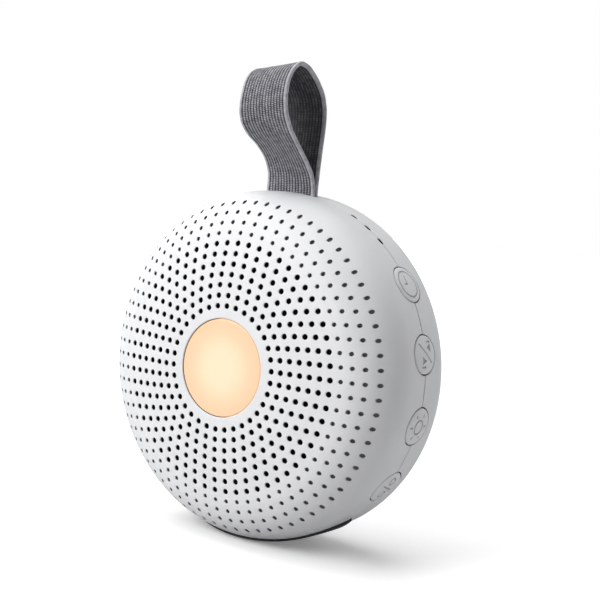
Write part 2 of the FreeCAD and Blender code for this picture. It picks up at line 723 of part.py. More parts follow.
def speaker():
    start = "-speaker_seat"
    flange_inner = "speaker_radius - flange_width"
    basket = turned("speaker_basket", [
        (flange_inner, "0"), ("speaker_radius", "0"), ("speaker_radius", "flange_thickness"),
        (f"{flange_inner} + basket_wall", "flange_thickness"), ("basket_back", "basket_depth"),
        ("basket_back", "basket_depth + basket_plate"), ("basket_hole", "basket_depth + basket_plate"),
        ("basket_hole", "basket_depth"), ("basket_back - basket_wall", "basket_depth"),
        (flange_inner, "flange_thickness")], start)
    ears, holes = [], []
    for angle in EAR_ANGLES:
        ears.append(block(f"ear_{angle}", (f"{flange_inner} + basket_wall", start, "-ear_radius"), (
            "ear_reach", f"{start} + flange_thickness", "ear_radius"), angle))
        ears.append(rod(f"ear_end_{angle}", "ear_radius", start, f"{start} + flange_thickness",
                        "ear_reach", angle))
        holes.append(rod(f"ear_bore_{angle}", "small_screw + screw_clearance", f"{start} - wall", "wall",
                         "ear_reach", angle))
    middle = f"{start} + (flange_thickness + basket_depth) / 2"
    for index in range(6):
        holes.append(spoke(f"basket_window_{index}", "window_radius", "basket_back - 2 * window_radius",
                           "speaker_radius", 60 * index + 30, middle))
    frame = fuse("speaker_plate", basket, *ears)
    piece("speaker_frame", cut("speaker_frame", frame, group("frame_holes", *holes)))
    piece("speaker_gasket", ring("speaker_gasket", "speaker_radius - gasket_width", "speaker_radius",
                                 "-(speaker_seat + gasket_thickness)", start))
    cone_inner = "coil_radius + 2 * seat_gap"
    cone_back = "flange_thickness + cone_depth"
    piece("speaker_cone", turned("speaker_cone", [
        (cone_inner, cone_back), ("cone_radius", "flange_thickness"),
        ("cone_radius", "flange_thickness + cone_wall"), (cone_inner, f"{cone_back} + cone_wall")], start))
    inner = "cone_radius + 3 * seat_gap"
    piece("speaker_surround", turned("speaker_surround", [
        (inner, "flange_thickness"), (inner, "flange_thickness - roll_wall"),
        (f"{inner} + 3 * roll_wall", "-roll_rise"), (f"{flange_inner} - 3 * roll_wall", "-roll_rise"),
        (flange_inner, "-roll_wall"), (f"{flange_inner} + flange_width / 3", "-roll_wall"),
        (f"{flange_inner} + flange_width / 3", "-seat_gap"), (f"{flange_inner} - seat_gap", "-seat_gap"),
        (f"{flange_inner} - 3.5 * roll_wall", "roll_wall - roll_rise"),
        (f"{inner} + 3.5 * roll_wall", "roll_wall - roll_rise"),
        (f"{inner} + roll_wall", "flange_thickness")], start))
    edge = ("flange_thickness + cone_depth * (cone_radius - cap_radius) / (cone_radius - coil_radius)"
            " - seat_gap")
    piece("dust_cap", turned("dust_cap", [
        ("0", f"{edge} - cap_rise - cone_wall"), ("cap_radius / 2", f"{edge} - 3 / 4 * cap_rise - cone_wall"),
        ("cap_radius", f"{edge} - cone_wall"), ("cap_radius", edge),
        ("cap_radius / 2", f"{edge} - 3 / 4 * cap_rise"), ("0", f"{edge} - cap_rise")], start))
    coil_front = f"{start} + {cone_back} + cone_wall + 4 * seat_gap"
    piece("voice_coil", ring("voice_coil", "coil_radius - coil_wall", "coil_radius", coil_front,
                             f"{coil_front} + coil_length"))
    plate_front = f"{start} + basket_depth + basket_plate + seat_gap"
    magnet_front = f"{plate_front} + top_plate"
    yoke_front = f"{magnet_front} + magnet_thickness"
    piece("speaker_top_plate", ring("speaker_top_plate", "coil_radius + coil_gap", "magnet_radius - wall / 2",
                                    plate_front, magnet_front))
    piece("speaker_magnet", ring("speaker_magnet", "magnet_bore", "magnet_radius", magnet_front, yoke_front))
    pole = rod("speaker_pole", "coil_radius - coil_wall - coil_gap", plate_front, yoke_front)
    disc = rod("yoke_disc", "magnet_radius - wall / 4", yoke_front, f"{yoke_front} + yoke_thickness")
    piece("speaker_yoke", fuse("speaker_yoke", pole, disc))
    screws("speaker_screws", [("ear_reach", angle) for angle in EAR_ANGLES], f"{start} + flange_thickness",
           FRONT, "small_screw", "small_head", "small_head_height",
           "flange_thickness + screw_bite - screw_clearance * 4")


# Main board, battery and charging port

def main_board():
    blank = rod("main_board_blank", "board_radius", "board_front", BOARD_BACK)
    bores = [rod(f"main_bore_{angle}", "small_screw + screw_clearance", "0", "rear_depth",
                 "board_boss_reach", angle) for angle in CORNER_ANGLES]
    piece("main_board", cut("main_board", blank, group("main_bores", *bores)))
    screws("board_screws", [("board_boss_reach", angle) for angle in CORNER_ANGLES], "board_front", REAR,
           "small_screw", "small_head", "small_head_height",
           "board_thickness + screw_bite / 2 - screw_clearance")
    chips = []
    for index, (reach, angle, side, height) in enumerate(CHIPS):
        chips.append(block(f"chip_{index}", (
            f"{reach} - {side} / 2", f"board_front - {height}", f"-{side} / 2"), (
            f"{reach} + {side} / 2", "board_front", f"{side} / 2"), angle))
    piece("board_chips", group("board_chips", *chips))


def battery():
    front = f"{BOARD_BACK} + battery_stand"
    back = f"{front} + battery_thickness"
    piece("battery", block("battery", ("-battery_width / 2", front, "-battery_height / 2"),
                           ("battery_width / 2", back, "battery_height / 2")))
    piece("battery_foam", block("battery_foam", ("-battery_width / 3", back, "-battery_height / 3"), (
        "battery_width / 3", f"{back} + foam_thickness", "battery_height / 3")))


def charging_port():
    mouth = "rear_depth - (rear_dome - sqrt(rear_dome ^ 2 - port_drop ^ 2)) - port_sink"
    foot = f"{BOARD_BACK} + seat_gap"
    floor = f"{foot} + port_floor"
    outer = port_bar("port_outside", "port_width", "port_height", foot, mouth)
    inner = port_bar("port_inside", "port_width - 2 * port_skin", "port_height - 2 * port_skin", floor,
                     f"{mouth} + wall")
    piece("charging_port", cut("charging_port", outer, inner))
    piece("port_tongue", block("port_tongue", (
        "-tongue_width / 2", floor, "-(port_drop + tongue_thickness / 2)"), (
        "tongue_width / 2", f"{floor} + tongue_length", "-(port_drop - tongue_thickness / 2)")))


# The buttons, each with the switch that it presses, and the board that carries the switches

def buttons():
    skin = whole_case("button_skin", "-button_proud")
    rim_front = "case_radius - wall - button_rim_drop"
    rim_back = f"{rim_front} - button_rim_thickness"
    plunger_front = "switch_front + plunger_show"
    switch_back = "button_board_front - seat_gap"
    for name, angle in zip(BUTTON_NAMES, button_angles()):
        column = spoke(f"{name}_column", "button_radius", rim_front, "case_radius + wall", 0)
        cap = common(f"{name}_cap", column, skin)
        rim = spoke(f"{name}_rim", "button_radius + button_rim", rim_back, rim_front, 0)
        stem = spoke(f"{name}_stem", "stem_radius", plunger_front, rim_back, 0)
        piece(f"{name}_button", fuse(f"{name}_button", cap, rim, stem), angle)
        plunger_back = f"{plunger_front} - plunger_length"
        plunger = spoke(f"{name}_plunger", "plunger_radius", plunger_back, plunger_front, 0)
        piece(f"{name}_plunger", plunger, angle)
        box = block(f"{name}_switch_box", (
            "switch_front - switch_depth", f"{switch_back} - switch_height", "-switch_width / 2"), (
            "switch_front", switch_back, "switch_width / 2"))
        bore = spoke(f"{name}_bore", "plunger_radius + plunger_gap", f"{plunger_back} - 2 * button_travel",
                     "switch_front + wall", 0)
        piece(f"{name}_switch", cut(f"{name}_switch", box, bore), angle)


def button_board():
    back = "button_board_front + button_board_thickness"
    sectors = []
    for label, radius in (("outer", "button_board_outer"), ("inner", "button_board_inner")):
        sector = rod(f"button_board_{label}", radius, "button_board_front", back)
        bind(sector, Angle="button_board_high - button_board_low")
        start = FreeCAD.Rotation(Y, -number("button_board_high"))
        sector.Placement.Rotation = start.multiply(sector.Placement.Rotation)
        sectors.append(sector)
    bores = []
    for index, angle in enumerate(post_angles()):
        bores.append(rod(f"post_bore_{index}", "small_screw + screw_clearance", "0", "rear_depth",
                         "post_reach", angle))
    for angle in (CORNER_ANGLES[0], CORNER_ANGLES[3]):
        bores.append(rod(f"pillar_notch_{angle}", "pillar_radius + tray_gap", "0", "rear_depth",
                         "pillar_reach", angle))
    board = cut("button_board_blank", *sectors)
    piece("button_board", cut("button_board", board, group("button_board_bores", *bores)))
    screws("button_board_screws", [("post_reach", angle) for angle in post_angles()], "button_board_front",
           REAR, "small_screw", "small_head", "small_head_height", "screw_bite - screw_clearance * 4")
    piece("board_link", block("board_link", (
        "button_board_inner + seat_gap", back, "-link_length / 2"), (
        "button_board_inner + seat_gap + link_width", "board_front", "link_length / 2")))


def indicators():
    skin = whole_case("pipe_skin", "indicator_inset")
    rim_front = "case_radius - wall - indicator_gap"
    leds = []
    for index, angle in enumerate(indicator_angles()):
        bar = obround(f"pipe_bar_{index}", "indicator_length", "indicator_height", "pipe_back",
                      "case_radius + wall")
        rim = obround(f"pipe_rim_{index}", "indicator_length + 2 * pipe_rim",
                      "indicator_height + 2 * pipe_rim", f"{rim_front} - pipe_rim_thickness", rim_front)
        tip = common(f"pipe_tip_{index}", bar, skin)
        piece(f"light_pipe_{index + 1}", fuse(f"light_pipe_{index + 1}", tip, rim), angle)
        leds.append(block(f"indicator_led_{index}", (
            "pipe_back - tray_gap - led_side / 2", "-indicator_height / 2", "-led_side / 2"), (
            "pipe_back - tray_gap", "button_board_front - seat_gap", "led_side / 2"), angle))
    piece("indicator_leds", group("indicator_leds", *leds))


# The webbing loop: outside the case it swings about the slot's mouth, inside it wraps the pin

def face_between(outer, inner):
    return Part.Face(outer).cut(Part.Face(inner))


def across(face, width):
    """A face in the plane of Y and Z, made as wide as the webbing."""
    solid = face.extrude(FreeCAD.Vector(width, 0, 0))
    solid.translate(FreeCAD.Vector(-width / 2, 0, 0))
    return solid.Solids[0]


def strap_loop():
    thickness, knuckle = number("strap_thickness"), number(KNUCKLE)
    front, rise, back = number("strap_front"), number("strap_rise"), number("strap_back")
    pivot = FreeCAD.Vector(0, 0, number("case_radius + strap_pivot"))
    spots = [pivot - Y * knuckle]
    for forward, height in LOOP_SHAPE:
        reach = front if forward > 0 else back
        spots.append(pivot + FreeCAD.Vector(0, -forward * reach, height * rise))
    spots.append(pivot + Y * knuckle)
    outer = Part.BSplineCurve()
    outer.interpolate(spots)
    crotch = pivot + Z * (rise * CROTCH_HEIGHT)
    inner_spots = [crotch]
    for spot in spots[1:-1]:
        if spot.z > crotch.z + thickness:
            along = outer.tangent(outer.parameter(spot))[0]
            inner_spots.append(spot + along.cross(X).normalize() * thickness)
    inner_spots.append(crotch)
    inner = Part.BSplineCurve()
    inner.interpolate(inner_spots)
    bottom = Part.LineSegment(spots[-1], spots[0])
    band = face_between(Part.Wire([outer.toShape(), bottom.toShape()]), Part.Wire([inner.toShape()]))
    width = number("strap_width")
    roll = Part.makeCylinder(knuckle, width, pivot - X * (width / 2), X)
    piece("strap_loop", shaped("strap_loop", across(band, width).fuse(roll)))


def strap_root():
    """The two strands inside the case: round the pin, then together through the slot."""
    thickness, knuckle = number("strap_thickness"), number(KNUCKLE)
    inner_radius = number("pin_radius + seat_gap")
    centre = FreeCAD.Vector(0, 0, number("pin_reach"))
    joining = number("case_radius - wall - pin_reach")
    top = number(f"case_radius + strap_pivot - {KNUCKLE} - knuckle_gap - pin_reach")
    wires = []
    for half_width, radius in ((knuckle, inner_radius + thickness), (0, inner_radius)):
        lean = math.atan2(joining, half_width) - math.acos(radius / math.hypot(half_width, joining))
        touch = Y * (radius * math.cos(lean)) + Z * (radius * math.sin(lean))
        rear, front = centre + touch, centre + FreeCAD.Vector(0, -touch.y, touch.z)
        ends = [centre + Y * half_width + Z * joining, centre - Y * half_width + Z * joining]
        edges = [Part.makeLine(ends[0], rear), Part.Arc(rear, centre - Z * radius, front).toShape(),
                 Part.makeLine(front, ends[1])]
        if half_width > 0:
            tips = [centre + Y * half_width + Z * top, centre - Y * half_width + Z * top]
            edges += [Part.makeLine(ends[1], tips[1]), Part.makeLine(tips[1], tips[0]),
                      Part.makeLine(tips[0], ends[0])]
        wires.append(Part.Wire(edges))
    piece("strap_root", shaped("strap_root", across(face_between(*wires), number("strap_width"))))
    start = FreeCAD.Vector(-number("pin_length") / 2, 0, number("pin_reach"))
    piece("strap_pin", cylinder("strap_pin", "pin_radius", "pin_length", start, X))


# Wires, and the sockets on the main board that they plug into

def tube(points, radius, bend):
    """A round wire along straight runs that are joined by arcs of one bend radius."""
    edges = []
    start = points[0]
    for before, corner, after in zip(points, points[1:], points[2:]):
        inward, outward = (corner - before).normalize(), (after - corner).normalize()
        half_turn = inward.getAngle(outward) / 2
        reach = bend * math.tan(half_turn)
        first, last = corner - inward * reach, corner + outward * reach
        middle_way = (outward - inward).normalize()
        centre = corner + middle_way * (bend / math.cos(half_turn))
        edges.append(Part.makeLine(start, first))
        edges.append(Part.Arc(first, centre - middle_way * bend, last).toShape())
        start = last
    edges.append(Part.makeLine(start, points[-1]))
    circle = Part.Wire([Part.Circle(points[0], (points[1] - points[0]).normalize(), radius).toShape()])
    return Part.Wire(edges).makePipeShell([circle], True, False)


def wires():
    radius, apart = number("lead_radius"), number("lead_spacing") / 2
    light_y = -number("collar_end - seat_gap - light_board_thickness / 2")
    socket_y = number("board_front - lead_spacing")
    outside = number("speaker_radius + lead_bend - lead_radius * 3 / 2")
    socket_edge = number("board_radius - lead_spacing")
    turn = FreeCAD.Rotation(Y, -LEAD_ANGLE)
    pair = []
    for sign in (-1, 1):
        route = [(number(COLLAR_OUTER) + radius / 4, light_y), (outside, light_y), (outside, socket_y),
                 (socket_edge, socket_y)]
        points = [turn.multVec(FreeCAD.Vector(x, y, sign * apart)) for x, y in route]
        pair.append(tube(points, radius, number("lead_bend")))
    piece("light_lead", shaped("light_lead", Part.makeCompound(pair)))
    pair = []
    for sign in (-1, 1):
        pair.append(rod(f"speaker_lead_{sign + 1}", "lead_radius", "-speaker_seat + flange_thickness",
                        "board_front", "speaker_radius - flange_width / 3", SPEAKER_LEAD_ANGLE + 2 * sign))
    piece("speaker_lead", group("speaker_lead", *pair))
    pair = []
    for sign in (-1, 1):
        start = FreeCAD.Vector(sign * apart, number(LEAD_DEPTH), number("battery_height / 2"))
        pair.append(cylinder(f"battery_lead_{sign + 1}", "lead_radius", "battery_socket_gap", start, Z))
    piece("battery_lead", group("battery_lead", *pair))
    edge = "board_radius - lead_spacing"
    light_socket = block("light_socket", (
        f"{edge} - socket_depth", "board_front - 2 * lead_spacing", "-1.5 * lead_spacing"), (
        edge, "board_front", "1.5 * lead_spacing"), LEAD_ANGLE)
    battery_socket = block("battery_socket", (
        "-1.5 * lead_spacing", BOARD_BACK, "battery_height / 2 + battery_socket_gap"), (
        "1.5 * lead_spacing", f"{LEAD_DEPTH} + lead_spacing",
        "battery_height / 2 + battery_socket_gap + socket_depth"))
    piece("lead_sockets", group("lead_sockets", light_socket, battery_socket))


openings = rim_openings()
front_shell(openings)
rear_shell(openings)
screws("case_screws", [("pillar_reach", angle) for angle in CORNER_ANGLES], "counterbore_floor", FRONT,
       "case_screw", "case_head", "case_head_height", "counterbore_floor + 2 * screw_bite - wall / 2")
foot_pad()
night_light()
grille_cloth()
speaker()
main_board()
battery()
charging_port()
button_board()
buttons()
indicators()
strap_loop()
strap_root()
wires()
doc.recompute()

for feature in doc.Objects:
    if {"Invalid", "Error"} & set(feature.State):
        raise RuntimeError(f"{feature.Label} failed: {feature.State}")
for feature in pieces:
    if feature.Shape.isNull() or not feature.Shape.isValid() or not feature.Shape.Solids:
        raise RuntimeError(f"{feature.Label} is not a valid solid")

os.makedirs("parts", exist_ok=True)
for feature in pieces:
    feature.Shape.exportStep(f"parts/{feature.Label}.step")
    print(f"{feature.Label}: {len(feature.Shape.Solids)} solids, {feature.Shape.Volume:.1f} mm3")
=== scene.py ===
import math

import bmesh
import bpy
import numpy as np
from bpy.props import FloatProperty, FloatVectorProperty, IntProperty, PointerProperty
from mathutils import Matrix, Vector


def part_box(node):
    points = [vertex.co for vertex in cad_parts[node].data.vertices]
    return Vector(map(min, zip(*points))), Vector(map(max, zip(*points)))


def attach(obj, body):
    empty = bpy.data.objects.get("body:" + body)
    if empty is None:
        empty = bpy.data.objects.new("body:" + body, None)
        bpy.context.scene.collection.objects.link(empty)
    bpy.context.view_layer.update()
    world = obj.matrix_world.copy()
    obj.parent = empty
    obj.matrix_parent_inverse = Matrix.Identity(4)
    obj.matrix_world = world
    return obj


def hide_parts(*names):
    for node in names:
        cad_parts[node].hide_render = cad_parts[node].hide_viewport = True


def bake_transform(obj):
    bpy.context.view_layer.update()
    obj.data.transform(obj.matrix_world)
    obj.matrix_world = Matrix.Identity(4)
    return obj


bl_info = {
    "name": "White noise sound machine",
    "version": (1, 0, 0),
    "blender": (4, 5, 0),
    "location": "3D View > Sidebar > Sound Machine",
    "description": "Makes the case, grille, buttons, night light and webbing loop of a sound machine",
    "category": "Object",
}

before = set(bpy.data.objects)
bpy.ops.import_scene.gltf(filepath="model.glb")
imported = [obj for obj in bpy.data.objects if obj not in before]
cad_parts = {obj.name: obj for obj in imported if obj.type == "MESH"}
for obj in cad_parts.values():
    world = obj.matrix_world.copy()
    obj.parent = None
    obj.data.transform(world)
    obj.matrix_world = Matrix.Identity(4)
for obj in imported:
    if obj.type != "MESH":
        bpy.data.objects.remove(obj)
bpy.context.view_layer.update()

# Pieces are drawn in millimetres round the case's centre: the seam lies in the plane y = 0, the grille
# faces -Y and +Z is up. HOME then takes them to their real size and place.
MM = 0.001
CASE_HEIGHT = sum(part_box("night_light_lens"), Vector()).z / 2
HOME = Matrix.Translation((0, 0, CASE_HEIGHT)) @ Matrix.Scale(MM, 4)

BUTTONS = ("timer", "sound", "light", "volume")
CORNERS = (45, 135, 225, 315)
EARS = (0, 90, 180, 270)
SHARP_ANGLE = math.radians(38)


# Sizes and colours that a user can change

def linear(code):
    """An sRGB hex colour as linear red, green and blue with full alpha."""
    parts = [int(code[place:place + 2], 16) / 255 for place in (1, 3, 5)]
    return (*[part / 12.92 if part <= 0.04045 else ((part + 0.055) / 1.055) ** 2.4
              for part in parts], 1.0)


def size(description, default):
    """A length given in millimetres and kept in metres."""
    return FloatProperty(description=description, default=default * MM, min=0.0, precision=5,
                         unit="LENGTH")


def turn(description, default):
    """An angle given in degrees and kept in radians."""
    return FloatProperty(description=description, default=math.radians(default), unit="ROTATION")


def count(description, default):
    return IntProperty(description=description, default=default)


def tint(description, code):
    return FloatVectorProperty(description=description, default=linear(code)[:3], subtype="COLOR",
                               size=3, min=0.0, max=1.0)


class CaseSizes(bpy.types.PropertyGroup):
    """The outline of the two shells, as four tangent arcs each"""
    radius: size("Half the width of the case at its seam", 46.0)
    rim_bow: size("Radius of the rim's slight bow across the seam", 140.0)
    wall: size("Thickness of the shells", 2.0)
    front_depth: size("From the seam to the middle of the grille", 23.7)
    front_dome: size("Radius of the middle of the front", 400.0)
    front_dome_edge: size("Where the middle of the front ends", 14.0)
    front_crown: size("Radius of the front between dome and shoulder", 97.5)
    front_shoulder: size("Radius of the front's outer turn", 15.5)
    rear_depth: size("From the seam to the middle of the back", 19.2)
    rear_dome: size("Radius of the middle of the back", 360.0)
    rear_dome_edge: size("Where the middle of the back ends", 24.7)
    rear_crown: size("Radius of the back between dome and shoulder", 51.4)
    rear_shoulder: size("Radius of the back's outer turn", 9.7)
    seam_gap: size("Width of the shadow line between the shells", 0.30)
    seam_round: size("Rounding of the edges along the seam", 0.13)
    seam_depth: size("How deep the shadow line goes", 1.0)
    foot_reach: size("Half the length of the foot pad", 28.8)
    foot_half_width: size("Half the width of the foot pad", 10.5)
    foot_seat: size("Depth of the recess for the foot pad", 1.0)
    foot_gap: size("Gap round the foot pad", 0.1)


class GrilleSizes(bpy.types.PropertyGroup):
    """The rings of holes in the front"""
    hole_radius: size("Radius of an open grille hole", 0.73)
    blind_radius: size("Radius of a shallow outer hole", 0.55)
    hole_round: size("Rounding of the mouth of a hole", 0.18)
    first_ring: size("Radius of the innermost ring of holes", 15.74)
    ring_pitch: size("Distance from one ring to the next", 2.657)
    blind_depth: size("Depth of the outer holes, which don't go through", 0.9)
    ring_pairs: count("Half the holes of the first ring", 17)
    pairs_added: count("Pairs added from ring to ring", 2)
    open_rings: count("Rings whose holes go through", 7)
    blind_rings: count("Outer rings of shallow holes", 4)


class LightSizes(bpy.types.PropertyGroup):
    """The lens of the night light and the three indicator windows"""
    lens_radius: size("Radius of the night light's lens", 12.4)
    lens_gap: size("Gap round the lens", 0.15)
    lens_inset: size("How far the lens lies under the surface", 0.15)
    lens_round: size("Rounding of the lens's edge", 0.35)
    lens_wall: size("Thickness of the lens", 1.8)
    lens_rim: size("Width of the hidden rim that holds the lens", 1.2)
    mouth_round: size("Rounding of the case's edge round the lens", 0.3)
    slot_length: size("Length of an indicator slot", 2.3)
    slot_height: size("Height of an indicator slot", 1.45)
    slot_angle: turn("Where the middle slot lies on the rim", 57.4)
    slot_spacing: turn("Angle from one slot to the next", 6.4)


class ButtonSizes(bpy.types.PropertyGroup):
    """The four buttons on the rim"""
    radius: size("Radius of a button", 4.9)
    gap: size("Gap round a button", 0.3)
    proud: size("How far a button's edge stands over the rim", 0.05)
    crown: size("How much higher a button's middle is than its edge", 0.3)
    edge_round: size("Rounding of a button's edge", 0.3)
    flange: size("Width of the hidden flange that keeps a button in", 0.8)
    flange_drop: size("From the rim's outside to the flange", 2.8)
    stem_radius: size("Radius of the stem that presses the switch", 1.5)
    stem_drop: size("From the rim's outside to the end of the stem", 5.6)
    icon_width: size("Width of an icon's lines", 0.52)
    icon_depth: size("How deep an icon is engraved", 0.24)
    spacing: turn("Angle from one button to the next", 22.8)


class StrapSizes(bpy.types.PropertyGroup):
    """The webbing loop"""
    width: size("Width of the webbing", 15.6)
    thickness: size("Thickness of the webbing", 1.1)
    gap: size("Gap between the webbing and its slot", 0.2)
    rise: size("Height of the loop over the slot", 31.4)
    reach: size("How far the loop leans to the front", 17.2)
    back: size("How far the rear strand leans back", 1.9)
    pivot: size("Height over the rim of the line that the loop swings about", 1.4)
    pin_height: size("Distance of the strap pin from the case's axis", 39.5)
    pin_radius: size("Radius of the strap pin", 1.5)
    selvedge: size("Width of the webbing's plain edge", 1.2)
    row_pitch: size("Distance from one row of the weave to the next", 0.46)
    rib_depth: size("Depth of the grooves between the ribs", 0.14)
    row_depth: size("Depth of the dips along a rib", 0.09)
    ribs: count("Ribs across the webbing", 14)


class PortSizes(bpy.types.PropertyGroup):
    """The charging slot and the screw wells in the back"""
    slot_width: size("Width of the charging slot", 9.3)
    slot_height: size("Height of the charging slot", 3.5)
    drop: size("How far the charging slot lies below the middle", 24.0)
    well_radius: size("Radius of a screw well", 2.7)
    well_floor: size("From the seam to the floor of a screw well", 9.0)
    well_reach: size("Distance of a screw well from the case's axis", 38.2)
    screw_hole: size("Radius of the hole for a case screw", 1.2)
    mouth_round: size("Rounding of the edges of these openings", 0.25)


class MachineColours(bpy.types.PropertyGroup):
    """The colours that show"""
    case: tint("White plastic of the shells and buttons", "#ECEDEF")
    lens_middle: tint("Glow in the middle of the lens", "#F6E7C4")
    lens_edge: tint("Glow at the edge of the lens", "#FFD2AA")
    window: tint("Smoked plastic of the indicator windows", "#2E3034")
    foot: tint("Rubber of the foot pad", "#3A3C3F")
    # The webbing's tones: its grooves, dips and inner side take the darker ones as painted shade
    thread_light: tint("Crests of the webbing's ribs", "#C6C6CC")
    thread_middle: tint("Flanks of the webbing's ribs", "#84848A")
    thread_in_shade: tint("Grooves of the webbing", "#3C3C40")
    floor: tint("Floor of the studio", "#FCFCFC")


class SoundMachineSettings(bpy.types.PropertyGroup):
    """Everything about the sound machine that can be changed"""
    case: PointerProperty(type=CaseSizes)
    grille: PointerProperty(type=GrilleSizes)
    light: PointerProperty(type=LightSizes)
    button: PointerProperty(type=ButtonSizes)
    strap: PointerProperty(type=StrapSizes)
    port: PointerProperty(type=PortSizes)
    colour: PointerProperty(type=MachineColours)


def settings():
    return bpy.context.scene.sound_machine


def mm(length):
    return length / MM


def colour_of(name):
    """A colour of the settings with full alpha."""
    return (*getattr(settings().colour, name), 1)


# Materials

def add(tree, kind, sockets=None, stops=(), **options):
    """Adds a node. options are its own settings, sockets are values or the outputs that feed them, and
    stops are a ramp's positions and colours: the first, the last and then any between them."""
    node = tree.nodes.new(kind)
    for name, value in options.items():
        setattr(node, name, value)
    for name, value in (sockets or {}).items():
        if isinstance(value, bpy.types.NodeSocket):
            tree.links.new(value, node.inputs[name])
        else:
            node.inputs[name].default_value = value
    for place, (position, colour) in enumerate(stops):
        elements = node.color_ramp.elements
        element = elements[place] if place < len(elements) else elements.new(position)
        element.position = position
        element.color = colour
    return node


def started(name, **sockets):
    """A new material, its node tree, its shader and the piece's own coordinates."""
    material = bpy.data.materials.new(name)
    material.use_nodes = True
    tree = material.node_tree
    tree.nodes.clear()
    shader = add(tree, "ShaderNodeBsdfPrincipled",
                 {socket.replace("_", " "): value for socket, value in sockets.items()})
    add(tree, "ShaderNodeOutputMaterial", {"Surface": shader.outputs[0]}, name="Finished")
    return material, tree, shader, add(tree, "ShaderNodeTexCoord").outputs["Object"]


def feed(tree, shader, **outputs):
    """Links outputs to the shader's sockets."""
    for socket, output in outputs.items():
        tree.links.new(output, shader.inputs[socket.replace("_", " ")])


def per_metre(millimetres):
    """The scale that gives a noise pattern a grain of this many millimetres."""
    return 1 / (millimetres * MM)


def bands_per_metre(millimetres):
    """The scale that gives a wave pattern bands this many millimetres apart."""
    return per_metre(millimetres) / 20


# Nearly all of a noise pattern's values lie between these
NOISE_LOW = 0.3
NOISE_HIGH = 0.7


def varied(tree, place, colour, patch, amount):
    """A colour that is a little lighter and darker from spot to spot, in patches of so many
    millimetres."""
    noise = add(tree, "ShaderNodeTexNoise", {"Vector": place, "Scale": per_metre(patch), "Detail": 3.0})
    low = [part * (1 - amount) for part in colour[:3]]
    high = [min(1.0, part * (1 + amount)) for part in colour[:3]]
    ramp = add(tree, "ShaderNodeValToRGB", {"Fac": noise.outputs["Fac"]},
               stops=((NOISE_LOW, (*low, 1)), (NOISE_HIGH, (*high, 1))))
    return ramp.outputs["Color"]


def grained(tree, shader, place, grain, depth, roughness, spread):
    """Gives the shader a fine grain: bumps depth millimetres high and a roughness that follows them."""
    noise = add(tree, "ShaderNodeTexNoise", {"Vector": place, "Scale": per_metre(grain), "Detail": 4.0,
                                             "Roughness": 0.6})
    bump = add(tree, "ShaderNodeBump", {"Height": noise.outputs["Fac"], "Distance": depth * MM,
                                        "Strength": 1.0})
    gloss = add(tree, "ShaderNodeMapRange", {
        "Value": noise.outputs["Fac"], "From Min": NOISE_LOW, "From Max": NOISE_HIGH,
        "To Min": roughness - spread, "To Max": roughness + spread})
    feed(tree, shader, Normal=bump.outputs["Normal"], Roughness=gloss.outputs["Result"])


# A plain finish: name, colour or the setting that holds it, roughness, its spread, grain and depth of
# the bumps in millimetres, size of the colour's patches in millimetres, and how much it changes
PLAIN_FINISHES = {
    # Steel screws and pin, zinc plated in a barrel: cool grey with a soft, slightly uneven shine
    "steel": ("Zinc_plated_steel", "#B4B6BA", 0.34, 0.10, 0.5, 0.004, 3.0, 0.12),
    # Light cup, moulded white polycarbonate with a reflecting filler: even, bright and matte
    "cup": ("Filled_white_polycarbonate", "#EDECE8", 0.55, 0.05, 0.4, 0.004, 5.0, 0.03),
    # Diodes: yellow phosphor cast in clear silicone, so they look wet and a little cloudy
    "led": ("Phosphor_in_silicone", "#EFDC8E", 0.18, 0.06, 0.3, 0.002, 0.8, 0.10),
    # Windows: smoked polycarbonate light pipes polished at the tip, dark until they are lit
    "light_pipe": ("Smoked_polycarbonate", "window", 0.22, 0.05, 0.4, 0.003, 0.6, 0.10),
    # Foot: thermoplastic rubber moulded in a sanded tool, dull, with dusty lighter patches
    "foot_rubber": ("Moulded_grey_rubber", "foot", 0.78, 0.08, 0.3, 0.03, 2.5, 0.16),
    # Speaker frame: pressed steel under a thin black powder coat with a fine orange peel
    "speaker_steel": ("Black_powder_coated_steel", "#1D1D20", 0.48, 0.08, 0.6, 0.012, 4.0, 0.10),
    # Gasket and battery pad: closed cell foam cut from sheet, whose open cut cells make it dull
    "foam": ("Closed_cell_foam", "#202023", 0.92, 0.05, 0.35, 0.05, 2.0, 0.22),
    # Cone and cap: pressed paper pulp, so short fibres give it a felted look
    "cone_paper": ("Pressed_paper_pulp", "#26262A", 0.86, 0.07, 0.25, 0.03, 1.5, 0.28),
    # Surround: butyl rubber moulded in a polished tool, a soft satin
    "surround_rubber": ("Moulded_butyl_rubber", "#141415", 0.52, 0.08, 0.5, 0.006, 4.0, 0.15),
    # Plates of the magnet and the port's shell: steel with a bright zinc plating
    "zinc_steel": ("Bright_zinc_plating", "#C4C6CA", 0.26, 0.08, 0.6, 0.003, 4.0, 0.08),
    # Magnet: sintered ferrite ground on its faces, a matte dark grey with fine pores
    "ferrite": ("Sintered_ferrite", "#2A2B2E", 0.70, 0.10, 0.2, 0.015, 2.0, 0.20),
    # Chips and plungers: epoxy moulded in an eroded tool, so it is matte black with a fine grain
    "chip_epoxy": ("Moulded_black_epoxy", "#19191B", 0.58, 0.08, 0.15, 0.008, 2.0, 0.12),
    # Battery: aluminium foil laminate, pressed flat and faintly wrinkled
    "battery_wrap": ("Foil_laminate", "#A9ACB2", 0.36, 0.10, 3.0, 0.05, 8.0, 0.08),
    # Wires: extruded silicone, smooth with a soft bloom
    "wire": ("Extruded_red_silicone", "#8E1F1C", 0.50, 0.08, 0.6, 0.004, 3.0, 0.10),
    # Sockets and switches: natural nylon, ivory and slightly waxy
    "socket_nylon": ("Natural_nylon", "#E3DCC8", 0.45, 0.07, 0.4, 0.004, 4.0, 0.05),
}
